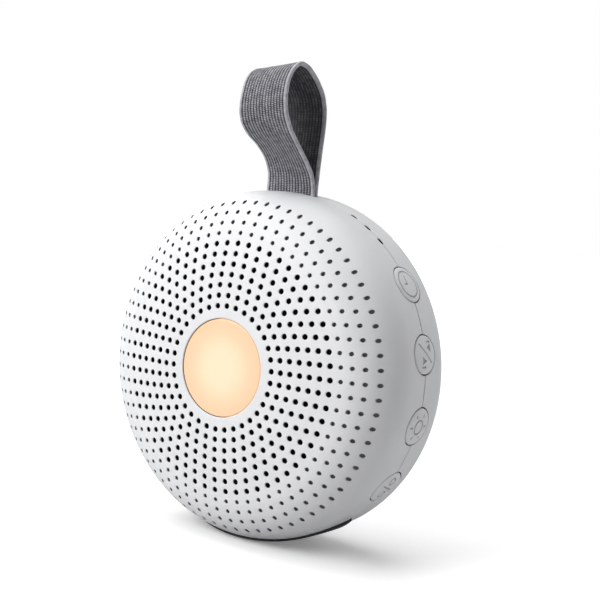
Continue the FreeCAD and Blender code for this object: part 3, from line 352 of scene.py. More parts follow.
OTHER_SOCKETS = {
    "steel": {"Metallic": 1.0},
    "zinc_steel": {"Metallic": 1.0},
    "battery_wrap": {"Metallic": 0.6},
    "light_pipe": {"IOR": 1.58},
    "foot_rubber": {"Specular_IOR_Level": 0.3},
}


def plain_finish(slot):
    name, code, roughness, spread, grain, depth, patch, amount = PLAIN_FINISHES[slot]
    material, tree, shader, place = started(name, **OTHER_SOCKETS.get(slot, {}))
    colour = linear(code) if code.startswith("#") else colour_of(code)
    feed(tree, shader, Base_Color=varied(tree, place, colour, patch, amount))
    grained(tree, shader, place, grain, depth, roughness, spread)
    return material


def case_plastic():
    """ABS moulded in a spark-eroded tool: the fine grain, drawn here at 0.5 mm so that it shows,
    breaks up the reflections. The walls of the holes and gaps and the inside of the case are darkened
    towards near black as painted shade; the painted shade is lighter in the shallow outer holes."""
    material, tree, shader, place = started("Moulded_white_ABS", IOR=1.5, Specular_IOR_Level=0.42)
    colour = varied(tree, place, colour_of("case"), patch=9.0, amount=0.012)
    # Mixes the case colour towards near black by a value noted on the mesh: painted shade in the holes,
    # gaps, icon grooves and inside the case
    paint = add(tree, "ShaderNodeAttribute", attribute_type="GEOMETRY", attribute_name="paint")
    both = add(tree, "ShaderNodeMix", {0: paint.outputs["Fac"], 6: colour, 7: linear("#0E0E10")},
               data_type="RGBA")
    feed(tree, shader, Base_Color=both.outputs[2])
    grained(tree, shader, place, grain=0.5, depth=0.014, roughness=0.56, spread=0.07)
    return material


def opal_lens():
    """Opal polycarbonate lit from behind by warm diodes: an even glow, palest in the middle and
    more orange where less light reaches the edge, under a satin surface."""
    material, tree, shader, place = started("Lit_opal_polycarbonate", Roughness=0.30, IOR=1.58,
                                            Emission_Strength=0.62, Specular_IOR_Level=0.5)
    centred = add(tree, "ShaderNodeMapping", {"Vector": place, "Location": (0, 0, -CASE_HEIGHT),
                                              "Scale": (1, 0, 1)})
    away = add(tree, "ShaderNodeVectorMath", {0: centred.outputs[0]}, operation="LENGTH")
    share = add(tree, "ShaderNodeMapRange", {"Value": away.outputs["Value"], "From Min": 0.0,
                                             "From Max": settings().light.lens_radius})
    glow = add(tree, "ShaderNodeValToRGB", {"Fac": share.outputs["Result"]},
               stops=((0.25, colour_of("lens_middle")), (0.97, colour_of("lens_edge"))))
    glow.color_ramp.interpolation = "EASE"
    body = add(tree, "ShaderNodeHueSaturation", {"Color": glow.outputs["Color"], "Value": 0.45})
    grain = add(tree, "ShaderNodeTexNoise", {"Vector": place, "Scale": per_metre(0.5), "Detail": 2.0})
    bump = add(tree, "ShaderNodeBump", {"Height": grain.outputs["Fac"], "Distance": 0.003 * MM})
    feed(tree, shader, Emission_Color=glow.outputs["Color"], Base_Color=body.outputs["Color"],
         Normal=bump.outputs["Normal"])
    return material


def acoustic_cloth():
    """Black polyester monofilament mesh, woven square with threads 0.25 mm apart: the threads catch
    a little light and the gaps between them don't."""
    material, tree, shader, place = started("Woven_black_mesh", Roughness=0.85, Sheen_Weight=0.1)
    waves = [add(tree, "ShaderNodeTexWave", {"Vector": place, "Scale": bands_per_metre(0.25)},
                 wave_type="BANDS", bands_direction=axis).outputs["Fac"] for axis in ("X", "Z")]
    threads = add(tree, "ShaderNodeMath", {0: waves[0], 1: waves[1]}, operation="MAXIMUM")
    ramp = add(tree, "ShaderNodeValToRGB", {"Fac": threads.outputs[0]},
               stops=((0, linear("#060607")), (1, linear("#1B1B1E"))))
    bump = add(tree, "ShaderNodeBump", {"Height": threads.outputs[0], "Distance": 0.05 * MM})
    feed(tree, shader, Base_Color=ramp.outputs["Color"], Normal=bump.outputs["Normal"])
    return material


def solder_mask():
    """Glass fibre board under green solder mask, printed wet: glossy, with copper traces 0.5 mm wide
    that show through as paler lines."""
    material, tree, shader, place = started("Green_solder_mask", IOR=1.5, Coat_Weight=0.4,
                                            Coat_Roughness=0.15)
    bands = add(tree, "ShaderNodeTexWave", {"Vector": place, "Scale": bands_per_metre(2.0),
                                            "Distortion": 6.0, "Detail": 1.0},
                wave_type="BANDS", bands_direction="DIAGONAL")
    ramp = add(tree, "ShaderNodeValToRGB", {"Fac": bands.outputs["Fac"]},
               stops=((0.62, linear("#12502E")), (0.70, linear("#2B7A4B"))))
    bump = add(tree, "ShaderNodeBump", {"Height": ramp.outputs["Color"], "Distance": 0.03 * MM})
    grain = add(tree, "ShaderNodeTexNoise", {"Vector": place, "Scale": per_metre(0.5)})
    gloss = add(tree, "ShaderNodeMapRange", {"Value": grain.outputs["Fac"], "To Min": 0.22,
                                             "To Max": 0.38})
    feed(tree, shader, Base_Color=ramp.outputs["Color"], Normal=bump.outputs["Normal"],
         Roughness=gloss.outputs["Result"])
    return material


def enamelled_copper():
    """Copper wire 0.16 mm thick under clear enamel, wound in close turns round the axis: fine bright
    rings with dark lines between them."""
    material, tree, shader, place = started("Enamelled_copper_wire", Metallic=1.0)
    turns = add(tree, "ShaderNodeTexWave", {"Vector": place, "Scale": bands_per_metre(0.16)},
                wave_type="BANDS", bands_direction="Y")
    ramp = add(tree, "ShaderNodeValToRGB", {"Fac": turns.outputs["Fac"]},
               stops=((0, linear("#5E2A14")), (1, linear("#D98A5A"))))
    bump = add(tree, "ShaderNodeBump", {"Height": turns.outputs["Fac"], "Distance": 0.05 * MM})
    gloss = add(tree, "ShaderNodeMapRange", {"Value": turns.outputs["Fac"], "To Min": 0.45,
                                             "To Max": 0.25})
    feed(tree, shader, Base_Color=ramp.outputs["Color"], Normal=bump.outputs["Normal"],
         Roughness=gloss.outputs["Result"])
    return material


def woven_webbing():
    """Polyester webbing, woven in ribs of grey yarn with rows 0.46 mm apart: crests of the yarn are
    light, and the grooves between ribs and the dips along them are dark as painted shade; single filaments
    give it a fine streak and a sheen."""
    material, tree, shader, place = started("Woven_grey_webbing", Roughness=0.82, Sheen_Weight=0.06,
                                            Sheen_Roughness=0.5, Specular_IOR_Level=0.25)
    weave_shade = add(tree, "ShaderNodeAttribute", attribute_type="GEOMETRY", attribute_name="weave_shade")
    cloth = add(tree, "ShaderNodeUVMap", uv_map="webbing").outputs["UV"]
    streak = add(tree, "ShaderNodeMapping", {"Vector": cloth, "Scale": (9.0, 1.0, 1.0)})
    yarn = add(tree, "ShaderNodeTexNoise", {"Vector": streak.outputs[0], "Scale": per_metre(1.0),
                                            "Detail": 3.0})
    patch = add(tree, "ShaderNodeTexNoise", {"Vector": place, "Scale": per_metre(1.6), "Detail": 2.0})
    uneven = add(tree, "ShaderNodeMath", {0: yarn.outputs["Fac"], 1: patch.outputs["Fac"]},
                 operation="ADD")
    shift = add(tree, "ShaderNodeMapRange", {"Value": uneven.outputs[0], "From Min": 0.7,
                                             "From Max": 1.3, "To Min": -0.16, "To Max": 0.16})
    # The noted tone holds painted shade in the grooves, the dips and on the inner side
    tone = add(tree, "ShaderNodeMath", {0: weave_shade.outputs["Fac"], 1: shift.outputs["Result"]},
               operation="ADD", use_clamp=True)
    ramp = add(tree, "ShaderNodeValToRGB", {"Fac": tone.outputs[0]},
               stops=((0.12, colour_of("thread_in_shade")), (0.92, colour_of("thread_light")),
                      (0.5, colour_of("thread_middle"))))
    bump = add(tree, "ShaderNodeBump", {"Height": yarn.outputs["Fac"], "Distance": 0.06 * MM,
                                        "Strength": 0.8})
    feed(tree, shader, Base_Color=ramp.outputs["Color"], Normal=bump.outputs["Normal"])
    return material


SPECIAL_FINISHES = {
    "shell": case_plastic,
    "lens": opal_lens,
    "cloth": acoustic_cloth,
    "circuit_board": solder_mask,
    "copper": enamelled_copper,
    "webbing": woven_webbing,
}
made_finishes = {}


def finish_for(slot):
    """The material of a slot of the record, made when it is first asked for."""
    if slot not in made_finishes:
        make = SPECIAL_FINISHES.get(slot)
        made_finishes[slot] = make() if make else plain_finish(slot)
    return made_finishes[slot]


# The case's outline: four tangent arcs for each half, drawn in reach from the axis and depth from
# the seam. Each arc is its centre, its radius and the angles where it starts and ends.

def touching(first, first_reach, second, second_reach):
    """Where two circles cross, on the side away from the case's axis."""
    gap = second - first
    along = (first_reach ** 2 - second_reach ** 2 + gap.length_squared) / (2 * gap.length)
    away = math.sqrt(first_reach ** 2 - along ** 2)
    unit = gap.normalized()
    side = Vector((-unit.y, unit.x))
    return max((first + unit * along + side * away, first + unit * along - side * away),
               key=lambda spot: spot.x)


def half_arcs(half, inset=0.0):
    """The arcs of one half from the rim to the axis, drawn in by inset."""
    case = settings().case
    depth, dome, edge, crown, shoulder = (mm(getattr(case, f"{half}_{key}")) for key in (
        "depth", "dome", "dome_edge", "crown", "shoulder"))
    bow, rim = mm(case.rim_bow) - inset, mm(case.radius) - inset
    lean = math.asin(edge / dome)
    depth, dome, crown, shoulder = depth - inset, dome - inset, crown - inset, shoulder - inset
    dome_centre = Vector((0, depth - dome))
    crown_centre = dome_centre + Vector((math.sin(lean), math.cos(lean))) * (dome - crown)
    bow_centre = Vector((rim - bow, 0))
    shoulder_centre = touching(crown_centre, crown - shoulder, bow_centre, bow - shoulder)
    to_shoulder = shoulder_centre - bow_centre
    from_crown = shoulder_centre - crown_centre
    turns = [0, math.atan2(to_shoulder.y, to_shoulder.x), math.atan2(from_crown.y, from_crown.x),
             math.pi / 2 - lean, math.pi / 2]
    circles = ((bow_centre, bow), (shoulder_centre, shoulder), (crown_centre, crown), (dome_centre, dome))
    return [(*circle, first, last) for circle, first, last in zip(circles, turns, turns[1:])]


def trimmed(arcs, low, reach):
    """The arcs cut short at the depth low near the seam and at reach near the axis."""
    centre, radius, _, last = arcs[0]
    far_centre, far_radius, first, _ = arcs[-1]
    return [(centre, radius, math.asin(low / radius), last), *arcs[1:-1],
            (far_centre, far_radius, first, math.acos(reach / far_radius))]


def spot_on(arc, angle):
    centre, radius = arc[:2]
    return centre.x + radius * math.cos(angle), centre.y + radius * math.sin(angle)


def depth_at(arcs, reach):
    """How far from the seam the surface lies at a distance from the axis."""
    for centre, radius, first, last in reversed(arcs):
        if reach <= centre.x + radius * math.cos(first) or first == 0:
            return centre.y + math.sqrt(max(0.0, radius ** 2 - (reach - centre.x) ** 2))


def swing(bm, vertex, centre, angle, steps):
    """Draws an arc from a vertex about a centre in the outline's plane. Returns its far end."""
    drawn = bmesh.ops.spin(bm, geom=[vertex], cent=(*centre, 0), axis=(0, 0, 1), angle=angle,
                           steps=steps)
    return next(item for item in drawn["geom_last"] if isinstance(item, bmesh.types.BMVert))


def line_to(bm, vertex, reach, depth):
    far = bm.verts.new((reach, depth, 0))
    bm.edges.new((vertex, far))
    return far


FINEST_STEP = 0.06


def follow(bm, vertex, arcs, spacing, inward):
    """Draws along the arcs from a vertex, towards the axis or towards the rim."""
    for centre, radius, first, last in (arcs if inward else reversed(arcs)):
        angle = last - first if inward else first - last
        step = min(spacing, radius * FINEST_STEP)
        steps = max(1, math.ceil(radius * abs(angle) / step))
        vertex = swing(bm, vertex, centre, angle, steps)
    return vertex


def spun(bm, axis, steps):
    """Turns all that is drawn once round an axis."""
    bmesh.ops.spin(bm, geom=bm.verts[:] + bm.edges[:], cent=(0, 0, 0), axis=axis,
                   angle=2 * math.pi, steps=steps, use_merge=True)


# Steps once round the axis, for the shells and for the smaller forms
AROUND = 264
LENS_AROUND = 128
RING_AROUND = 96
CAP_AROUND = 64
HOOP_AROUND = 45
OUTSIDE_SPACING = 1.5
INSIDE_SPACING = 4.5
MERGE = 0.003
RIM_CUT = 3.2
RIM_ABOVE = 1.6
RIM_ROUND = 0.2
SHADE_FADE = 0.25
TO_THE_BACK = (0, 1, 0)
UP = (0, 0, 1)


def skin(half, opening):
    """The wall of one half, with a rounded seam edge and, where opening isn't 0, a round hole of that
    radius in its middle. It is turned from one closed outline."""
    case = settings().case
    rim, wall = mm(case.radius), mm(case.wall)
    gap, edge, flare = mm(case.seam_gap) / 2, mm(case.seam_round), mm(settings().light.mouth_round)
    outside = trimmed(half_arcs(half), gap + edge, opening + flare if opening else 0)
    inside = trimmed(half_arcs(half, wall), 0, opening)
    bm = bmesh.new()
    start = bm.verts.new((*spot_on(outside[0], outside[0][2]), 0))
    vertex = follow(bm, start, outside, OUTSIDE_SPACING, True)
    if opening:
        vertex = swing(bm, vertex, (opening + flare, vertex.co.y - flare), math.pi / 2, 4)
        vertex = line_to(bm, vertex, *spot_on(inside[-1], inside[-1][3]))
    else:
        vertex = bm.verts.new((*spot_on(inside[-1], inside[-1][3]), 0))
    vertex = follow(bm, vertex, inside, INSIDE_SPACING, False)
    lip = rim - mm(case.seam_depth)
    # The seam's gap gets one more level, where its painted shade is full
    for reach, depth in ((lip, 0), (lip, gap), (rim - RIM_ROUND - SHADE_FADE, gap), (rim - edge, gap)):
        vertex = line_to(bm, vertex, reach, depth)
    swing(bm, vertex, (rim - edge, gap + edge), math.pi / 2, 3)
    spun(bm, TO_THE_BACK, AROUND)
    bmesh.ops.remove_doubles(bm, verts=bm.verts, dist=MERGE)
    if half == "front":
        bmesh.ops.scale(bm, vec=(1, -1, 1), verts=bm.verts)
    return bm


# Forms built up from one outline: a circle, a bar with round ends or a rectangle with round corners

def stack(bm, half_length, half_height, corner, levels, segments):
    """A closed form whose outline is drawn at each level as (how much it is grown, height). Returns
    its vertices, with the outline in x and y and the height in z."""
    ring = bmesh.ops.create_circle(bm, cap_ends=True, radius=1, segments=segments)["verts"]
    bmesh.ops.rotate(bm, verts=ring, matrix=Matrix.Rotation(math.pi / segments, 3, "Z"))
    made = list(ring)
    face = ring[0].link_faces[0]
    for step in range(1, len(levels)):
        grown = bmesh.ops.extrude_face_region(bm, geom=[face])["geom"]
        if step > 1:
            bm.faces.remove(face)
        ring = [item for item in grown if isinstance(item, bmesh.types.BMVert)]
        face = next(item for item in grown if isinstance(item, bmesh.types.BMFace))
        bmesh.ops.translate(bm, verts=ring, vec=(0, 0, 1))
        made += ring
    for vertex in made:
        across, up, level = vertex.co
        grow, height = levels[round(level)]
        vertex.co = (math.copysign(half_length - corner, across) + (corner + grow) * across,
                     math.copysign(half_height - corner, up) + (corner + grow) * up, height)
    return made


def pillar(bm, radius, levels, segments):
    """A stack with a round outline."""
    return stack(bm, radius, radius, radius, levels, segments)


def mouth(radius, depth, above):
    """Levels of a tool that sinks a hole with a rounded mouth: from its floor to above the surface.
    The second level is where the painted shade on the hole's wall is full."""
    levels = [(0, -depth), (0, -radius - SHADE_FADE), (0, -radius)]
    for angle in (30, 60, 90):
        lean = math.radians(angle)
        levels.append((radius * (1 - math.cos(lean)), -radius * (1 - math.sin(lean))))
    return levels + [(radius, above)]


def wrapped(verts, angle, crown=0.0, crown_radius=1.0):
    """Bends flat forms on to the rim at an angle: x runs up the rim, y to the back, z is the height
    over the surface, and a crown raises what lies near the middle."""
    case = settings().case
    radius, bow = mm(case.radius), mm(case.rim_bow)
    for vertex in verts:
        along, across, height = vertex.co
        height += crown * max(0.0, 1 - (along ** 2 + across ** 2) / crown_radius ** 2)
        tilt = across / bow
        reach = radius - bow + (bow + height) * math.cos(tilt)
        way = angle + along / radius
        vertex.co = (reach * math.cos(way), (bow + height) * math.sin(tilt), reach * math.sin(way))


def solid(bm, name):
    """A plain object of a drawn mesh in millimetres, closed and facing outwards. Its faces are
    triangles, because a hole cut inside a larger flat face can be covered again."""
    bmesh.ops.triangulate(bm, faces=bm.faces)
    bmesh.ops.recalc_face_normals(bm, faces=bm.faces)
    open_edges = sum(not edge.is_manifold for edge in bm.edges)
    if open_edges:
        raise RuntimeError(f"{name} has {open_edges} open edges")
    mesh = bpy.data.meshes.new(name)
    bm.to_mesh(mesh)
    bm.free()
    made = bpy.data.objects.new(name, mesh)
    bpy.context.scene.collection.objects.link(made)
    return made


def joined(base, tool, operation):
    """Cuts a tool out of a form, or adds it, and removes the tool."""
    before = (len(base.data.vertices), len(base.data.polygons))
    for solver in ("MANIFOLD", "EXACT"):
        change = base.modifiers.new(operation, "BOOLEAN")
        change.operation = operation
        change.object = tool
        change.solver = solver
        bpy.context.view_layer.update()
        graph = bpy.context.evaluated_depsgraph_get()
        result = bpy.data.meshes.new_from_object(base.evaluated_get(graph))
        base.modifiers.remove(change)
        if (len(result.vertices), len(result.polygons)) != before and result.polygons:
            break
    else:
        raise RuntimeError(f"{tool.name} could not be joined to {base.name}")
    base.data = result
    bpy.data.objects.remove(tool)


# The openings in the case

def button_angles():
    step = settings().button.spacing
    return [step * turns for turns in (1.5, 0.5, -0.5, -1.5)]


def slot_angles():
    light = settings().light
    return [light.slot_angle + light.slot_spacing * turns for turns in (1, 0, -1)]


def spot_at(reach, angle):
    """A place at a distance from the case's axis and an angle in degrees from +X."""
    way = math.radians(angle)
    return reach * math.cos(way), reach * math.sin(way)


FOOT_STEPS = (48, 6)
STRAP_SLOT_CORNER = 0.5
STRAP_SLOT_CUTS = 11


def foot_form(bm, low, high, gap):
    """The pointed oval of the foot as a layer on the bottom of the rim."""
    case = settings().case
    rim = mm(case.radius)
    reach, half = mm(case.foot_reach) + gap, mm(case.foot_half_width) + gap
    arc = (reach ** 2 + half ** 2) / (2 * half)
    bmesh.ops.create_grid(bm, x_segments=FOOT_STEPS[0], y_segments=FOOT_STEPS[1], size=1)
    for vertex in bm.verts:
        along = vertex.co.x * reach
        width = math.sqrt(arc ** 2 - along ** 2) - (arc - half)
        vertex.co = (rim * math.asin(along / rim), vertex.co.y * width, low)
    bmesh.ops.remove_doubles(bm, verts=bm.verts, dist=0.01)
    grown = bmesh.ops.extrude_face_region(bm, geom=bm.faces[:])["geom"]
    upper = [item for item in grown if isinstance(item, bmesh.types.BMVert)]
    bmesh.ops.translate(bm, verts=upper, vec=(0, 0, high - low))
    wrapped(bm.verts, -math.pi / 2)


def rim_tools():
    """Tools for the openings that both shells share: buttons, indicator slots and the strap's slot."""
    button, light, strap = settings().button, settings().light, settings().strap
    levels = mouth(RIM_ROUND, RIM_CUT, RIM_ABOVE)
    bm = bmesh.new()
    half_length, half_height = mm(strap.width / 2 + strap.gap), mm(strap.thickness + strap.gap)
    stack(bm, half_length, half_height, STRAP_SLOT_CORNER, levels, 24)
    long_edges = [edge for edge in bm.edges
                  if abs(edge.verts[0].co.x - edge.verts[1].co.x) > half_length]
    bmesh.ops.subdivide_edges(bm, edges=long_edges, cuts=STRAP_SLOT_CUTS, use_grid_fill=True)
    wrapped(bm.verts, math.pi / 2)
    for angle in button_angles():
        wrapped(pillar(bm, mm(button.radius + button.gap), levels, 56), angle)
    half_length, half_height = mm(light.slot_length) / 2, mm(light.slot_height) / 2
    for angle in slot_angles():
        wrapped(stack(bm, half_length, half_height, half_height,
                      mouth(RIM_ROUND / 2, RIM_CUT, RIM_ABOVE), 24), angle)
    return solid(bm, "rim_tools")


def foot_tool():
    case = settings().case
    bm = bmesh.new()
    foot_form(bm, -mm(case.foot_seat), RIM_ABOVE, mm(case.foot_gap))
    return solid(bm, "foot_tool")


def placed(verts, x, z, arcs, side):
    """Moves flat forms on to the front (side -1) or the back (side 1) of the case at x and z."""
    for vertex in verts:
        across, up, height = vertex.co
        depth = depth_at(arcs, math.hypot(x + across, z + up)) + height
        vertex.co = (x + across, side * depth, z + up)


DRILL_ABOVE = 0.4
DRILL_SHARE = 1.4


def grille_tools():
    """One small drill for each hole of the grille, with a rounded mouth that lies on the dome."""
    grille = settings().grille
    arcs = half_arcs("front")
    edge = mm(grille.hole_round)
    drills = []
    for radius, depth in ((mm(grille.hole_radius), DRILL_SHARE * mm(settings().case.wall)),
                          (mm(grille.blind_radius), mm(grille.blind_depth))):
        single = bmesh.new()
        pillar(single, radius, mouth(edge, depth, DRILL_ABOVE), 12)
        drills.append(bpy.data.meshes.new("drill"))
        single.to_mesh(drills[-1])
        single.free()
    bm = bmesh.new()
    for ring in range(grille.open_rings + grille.blind_rings):
        drill = drills[0 if ring < grille.open_rings else 1]
        reach = mm(grille.first_ring) + ring * mm(grille.ring_pitch)
        total = 2 * (grille.ring_pairs + ring * grille.pairs_added)
        for turns in range(total):
            way = 2 * math.pi * turns / total
            before = len(bm.verts)
            bm.from_mesh(drill)
            bm.verts.ensure_lookup_table()
            placed(bm.verts[before:], reach * math.sin(way), reach * math.cos(way), arcs, -1)
    return solid(bm, "grille_tools")


POST_SEGMENTS = 20


def post(bm, half, angle, reach, radius, start):
    """A round post inside a shell, from a depth to the middle of the wall."""
    side = -1 if half == "front" else 1
    arcs = half_arcs(half, mm(settings().case.wall) / 2)
    x, z = spot_at(reach, angle)
    for vertex in pillar(bm, radius, [(0, 0), (0, 1)], POST_SEGMENTS):
        across, up, level = vertex.co
        depth = depth_at(arcs, math.hypot(x + across, z + up)) if level > 0.5 else start
        vertex.co = (x + across, side * depth, z + up)


def ring_wall(half, inner, outer, start):
    """A round wall inside a shell, about the axis, from a depth to the middle of the shell's wall."""
    side = -1 if half == "front" else 1
    arcs = half_arcs(half, mm(settings().case.wall) / 2)
    bm = bmesh.new()
    verts = [bm.verts.new((reach, side * depth, 0)) for reach, depth in (
        (inner, start), (outer, start), (outer, depth_at(arcs, outer)), (inner, depth_at(arcs, inner)))]
    for place in range(4):
        bm.edges.new((verts[place], verts[(place + 1) % 4]))
    spun(bm, TO_THE_BACK, RING_AROUND)
    return solid(bm, f"{half}_ring")


# Shading and finishing

def points_of(mesh):
    points = np.empty(len(mesh.vertices) * 3)
    mesh.vertices.foreach_get("co", points)
    return points.reshape(-1, 3)


def noted(mesh, name, values):
    """Keeps a value for each point of a mesh, for its material to read."""
    layer = mesh.attributes.new(name, "FLOAT", "POINT")
    layer.data.foreach_set("value", values.astype(np.float32))


def true_normals(points, half):
    """The direction of the case's surface at each point, and how far outside it the point lies."""
    reach = np.hypot(points[:, 0], points[:, 2])
    depth = np.abs(points[:, 1])
    normals = np.zeros((len(points), 2))
    away = np.full(len(points), 9.0)
    left = np.ones(len(points), bool)
    for centre, radius, first, last in half_arcs(half):
        across, up = reach - centre.x, depth - centre.y
        mine = left & (np.arctan2(up, across) <= last + 1e-6)
        length = np.hypot(across, up)
        normals[mine, 0] = across[mine] / length[mine]
        normals[mine, 1] = up[mine] / length[mine]
        away[mine] = length[mine] - radius
        left &= ~mine
    safe = np.maximum(reach, 1e-9)
    side = -1 if half == "front" else 1
    return np.stack([normals[:, 0] * points[:, 0] / safe, side * normals[:, 1],
                     normals[:, 0] * points[:, 2] / safe], axis=1), away


RIM_ZONE = 6.5
SHADE_START = 0.1
BLIND_HOLE_SHADE = 0.82


def note_painted_shade(mesh, points, away, half):
    """Notes how much painted shade darkens each point of a shell: none outside, full in the holes and
    gaps, lighter in the shallow outer holes, and none in the openings of the back."""
    # Darker the deeper a point lies under the surface: painted shade in recesses
    paint = np.clip((-away - SHADE_START) / SHADE_FADE, 0, 1)
    beyond_rim = np.abs(points[:, 1]) > RIM_ZONE
    if half == "front":
        grille = settings().grille
        last_open = mm(grille.first_ring) + (grille.open_rings - 0.5) * mm(grille.ring_pitch)
        paint[beyond_rim & (np.hypot(points[:, 0], points[:, 2]) > last_open)] *= BLIND_HOLE_SHADE
    else:
        paint[beyond_rim] = 0
    noted(mesh, "paint", paint)


ON_SURFACE = 0.02
FACING = 0.7


def smoothed(mesh, half):
    """Shades a shell by the true surface where it is the outside, and by its faces elsewhere."""
    points = points_of(mesh)
    normals, away = true_normals(points, half)
    note_painted_shade(mesh, points, away, half)
    corners = np.empty(len(mesh.loops), np.int32)
    mesh.loops.foreach_get("vertex_index", corners)
    totals = np.empty(len(mesh.polygons), np.int32)
    mesh.polygons.foreach_get("loop_total", totals)
    faces = np.empty(len(mesh.polygons) * 3)
    mesh.polygons.foreach_get("normal", faces)
    facing = np.repeat(faces.reshape(-1, 3), totals, axis=0)
    wanted = normals[corners]
    outside = (np.abs(away[corners]) < ON_SURFACE) & (np.sum(facing * wanted, axis=1) > FACING)
    wanted[~outside] = 0
    return wanted


def finished(made, name, slot, body, nodes, half=None):
    """Turns a drawn form into a piece: named, at its real size and place, shaded and finished."""
    made.name = name
    mesh = made.data
    mesh.name = name
    mesh.polygons.foreach_set("use_smooth", [True] * len(mesh.polygons))
    mesh.set_sharp_from_angle(angle=SHARP_ANGLE)
    normals = smoothed(mesh, half) if half else None
    mesh.transform(HOME)
    if half:
        mesh.normals_split_custom_set(normals.tolist())
    mesh.materials.clear()
    mesh.materials.append(finish_for(slot))
    if body:
        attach(made, body)
    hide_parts(*nodes)
    return made


# Inner ribs of the shells, as the distance from the axis, the radius and the depth where each starts
EAR_BOSS = (37.2, 2.4, 9.05)
FRONT_PILLAR = (38.2, 3.0, 0.1)
BOARD_BOSS = (30.5, 2.4, 10.2)
BOARD_POST = (36.5, 1.7, 2.9)
# Inner rings of the front, as their inner and outer radius and the depth where each starts
LENS_COLLAR = (13.75, 14.75, 13.2)
SPEAKER_RING = (32.95, 34.35, 9.85)


class SOUND_MACHINE_OT_front_shell(bpy.types.Operator):
    """Makes the front shell with its grille, lens hole and its half of each opening in the rim"""
    bl_idname = "sound_machine.front_shell"
    bl_label = "Front shell"

    def execute(self, context):
        light = settings().light
        shell = solid(skin("front", mm(light.lens_radius + light.lens_gap)), "front")
        bm = bmesh.new()
        for angle in EARS:
            post(bm, "front", angle, *EAR_BOSS)
        for angle in CORNERS:
            post(bm, "front", angle, *FRONT_PILLAR)
        joined(shell, solid(bm, "front_posts"), "UNION")
        for sizes in (LENS_COLLAR, SPEAKER_RING):
            joined(shell, ring_wall("front", *sizes), "UNION")
        for make in (rim_tools, foot_tool, grille_tools):
            joined(shell, make(), "DIFFERENCE")
        finished(shell, "front_case", "shell", "case", ["front_shell"], "front")
        return {"FINISHED"}


class SOUND_MACHINE_OT_rear_shell(bpy.types.Operator):
    """Makes the rear shell with its screw wells, charging slot and its half of the rim's openings"""
    bl_idname = "sound_machine.rear_shell"
    bl_label = "Rear shell"

    def execute(self, context):
        port = settings().port
        shell = solid(skin("rear", 0), "rear")
        wall, reach = mm(settings().case.wall), mm(port.well_reach)
        bm = bmesh.new()
        for angle in CORNERS:
            post(bm, "rear", angle, reach, mm(port.well_radius) + wall / 2, mm(port.well_floor) - wall / 2)
            post(bm, "rear", angle, *BOARD_BOSS)
        step = math.degrees(settings().button.spacing)
        for angle in (step, -step, math.degrees(settings().light.slot_angle)):
            post(bm, "rear", angle, *BOARD_POST)
        joined(shell, solid(bm, "rear_posts"), "UNION")
        bm = bmesh.new()
        for angle in CORNERS:
            post(bm, "rear", angle, *FRONT_PILLAR)
        joined(shell, solid(bm, "rear_pillars"), "UNION")
        for make in (rim_tools, foot_tool, self.slot_and_wells, self.screw_drills):
            joined(shell, make(), "DIFFERENCE")
        finished(shell, "rear_case", "shell", "case", ["rear_shell"], "rear")
        return {"FINISHED"}

    def slot_and_wells(self):
        """Tools for the charging slot and the screw wells, whose floors are flat."""
        port = settings().port
        arcs = half_arcs("rear")
        wall, edge, well = mm(settings().case.wall), mm(port.mouth_round), mm(port.well_radius)
        bm = bmesh.new()
        half_width, half_height = mm(port.slot_width) / 2, mm(port.slot_height) / 2
        slot = stack(bm, half_width, half_height, half_height, mouth(edge, 2 * wall, wall), 40)
        placed(slot, 0, -mm(port.drop), arcs, 1)
        for angle in CORNERS:
            tool = pillar(bm, well, mouth(edge, 3 * wall, wall), 36)
            floor = [vertex for vertex in tool if vertex.co.z < -2 * wall]
            placed(tool, *spot_at(mm(port.well_reach), angle), arcs, 1)
            for vertex in floor:
                vertex.co.y = mm(port.well_floor)
        return solid(bm, "rear_tools")

    def screw_drills(self):
        port = settings().port
        length = mm(port.well_floor) + mm(settings().case.wall)
        bm = bmesh.new()
        for angle in CORNERS:
            x, z = spot_at(mm(port.well_reach), angle)
            drill = pillar(bm, mm(port.screw_hole), [(0, 0), (0, length)], POST_SEGMENTS)
            bmesh.ops.rotate(bm, verts=drill, matrix=Matrix.Rotation(-math.pi / 2, 3, "X"))
            bmesh.ops.translate(bm, verts=drill, vec=(x, 0, z))
        return solid(bm, "rear_drills")


# The icons: tools that engrave a button. The first number of a place runs up the rim and the second
# to the back, in millimetres.

ICON_ABOVE = 0.3
ICON_SHADE = 0.42


def hoop(middle, radius, width, depth):
    """A tool for a round groove, with slightly sloping walls."""
    bm = bmesh.new()
    half = width / 2
    outline = [(-half, ICON_ABOVE), (-half, 0), (-half * 0.7, -depth), (half * 0.7, -depth), (half, 0),
               (half, ICON_ABOVE)]
    verts = [bm.verts.new((radius + across, 0, up)) for across, up in outline]
    for place in range(len(verts)):
        bm.edges.new((verts[place], verts[place - 1]))
    spun(bm, UP, HOOP_AROUND)
    bmesh.ops.translate(bm, verts=bm.verts, vec=(*middle, 0))
    return bm


def bar(start, end, width, depth):
    """A tool for a straight groove with round ends, from one point of the button to another."""
    bm = bmesh.new()
    start, end = Vector(start), Vector(end)
    half = width / 2
    made = stack(bm, (end - start).length / 2 + half, half, half,
                 [(-half * 0.3, -depth), (0, 0), (0, ICON_ABOVE)], 16)
    way = math.atan2(end.y - start.y, end.x - start.x)
    bmesh.ops.rotate(bm, verts=made, matrix=Matrix.Rotation(way, 3, "Z"))
    bmesh.ops.translate(bm, verts=made, vec=(*((start + end) / 2), 0))
    return bm


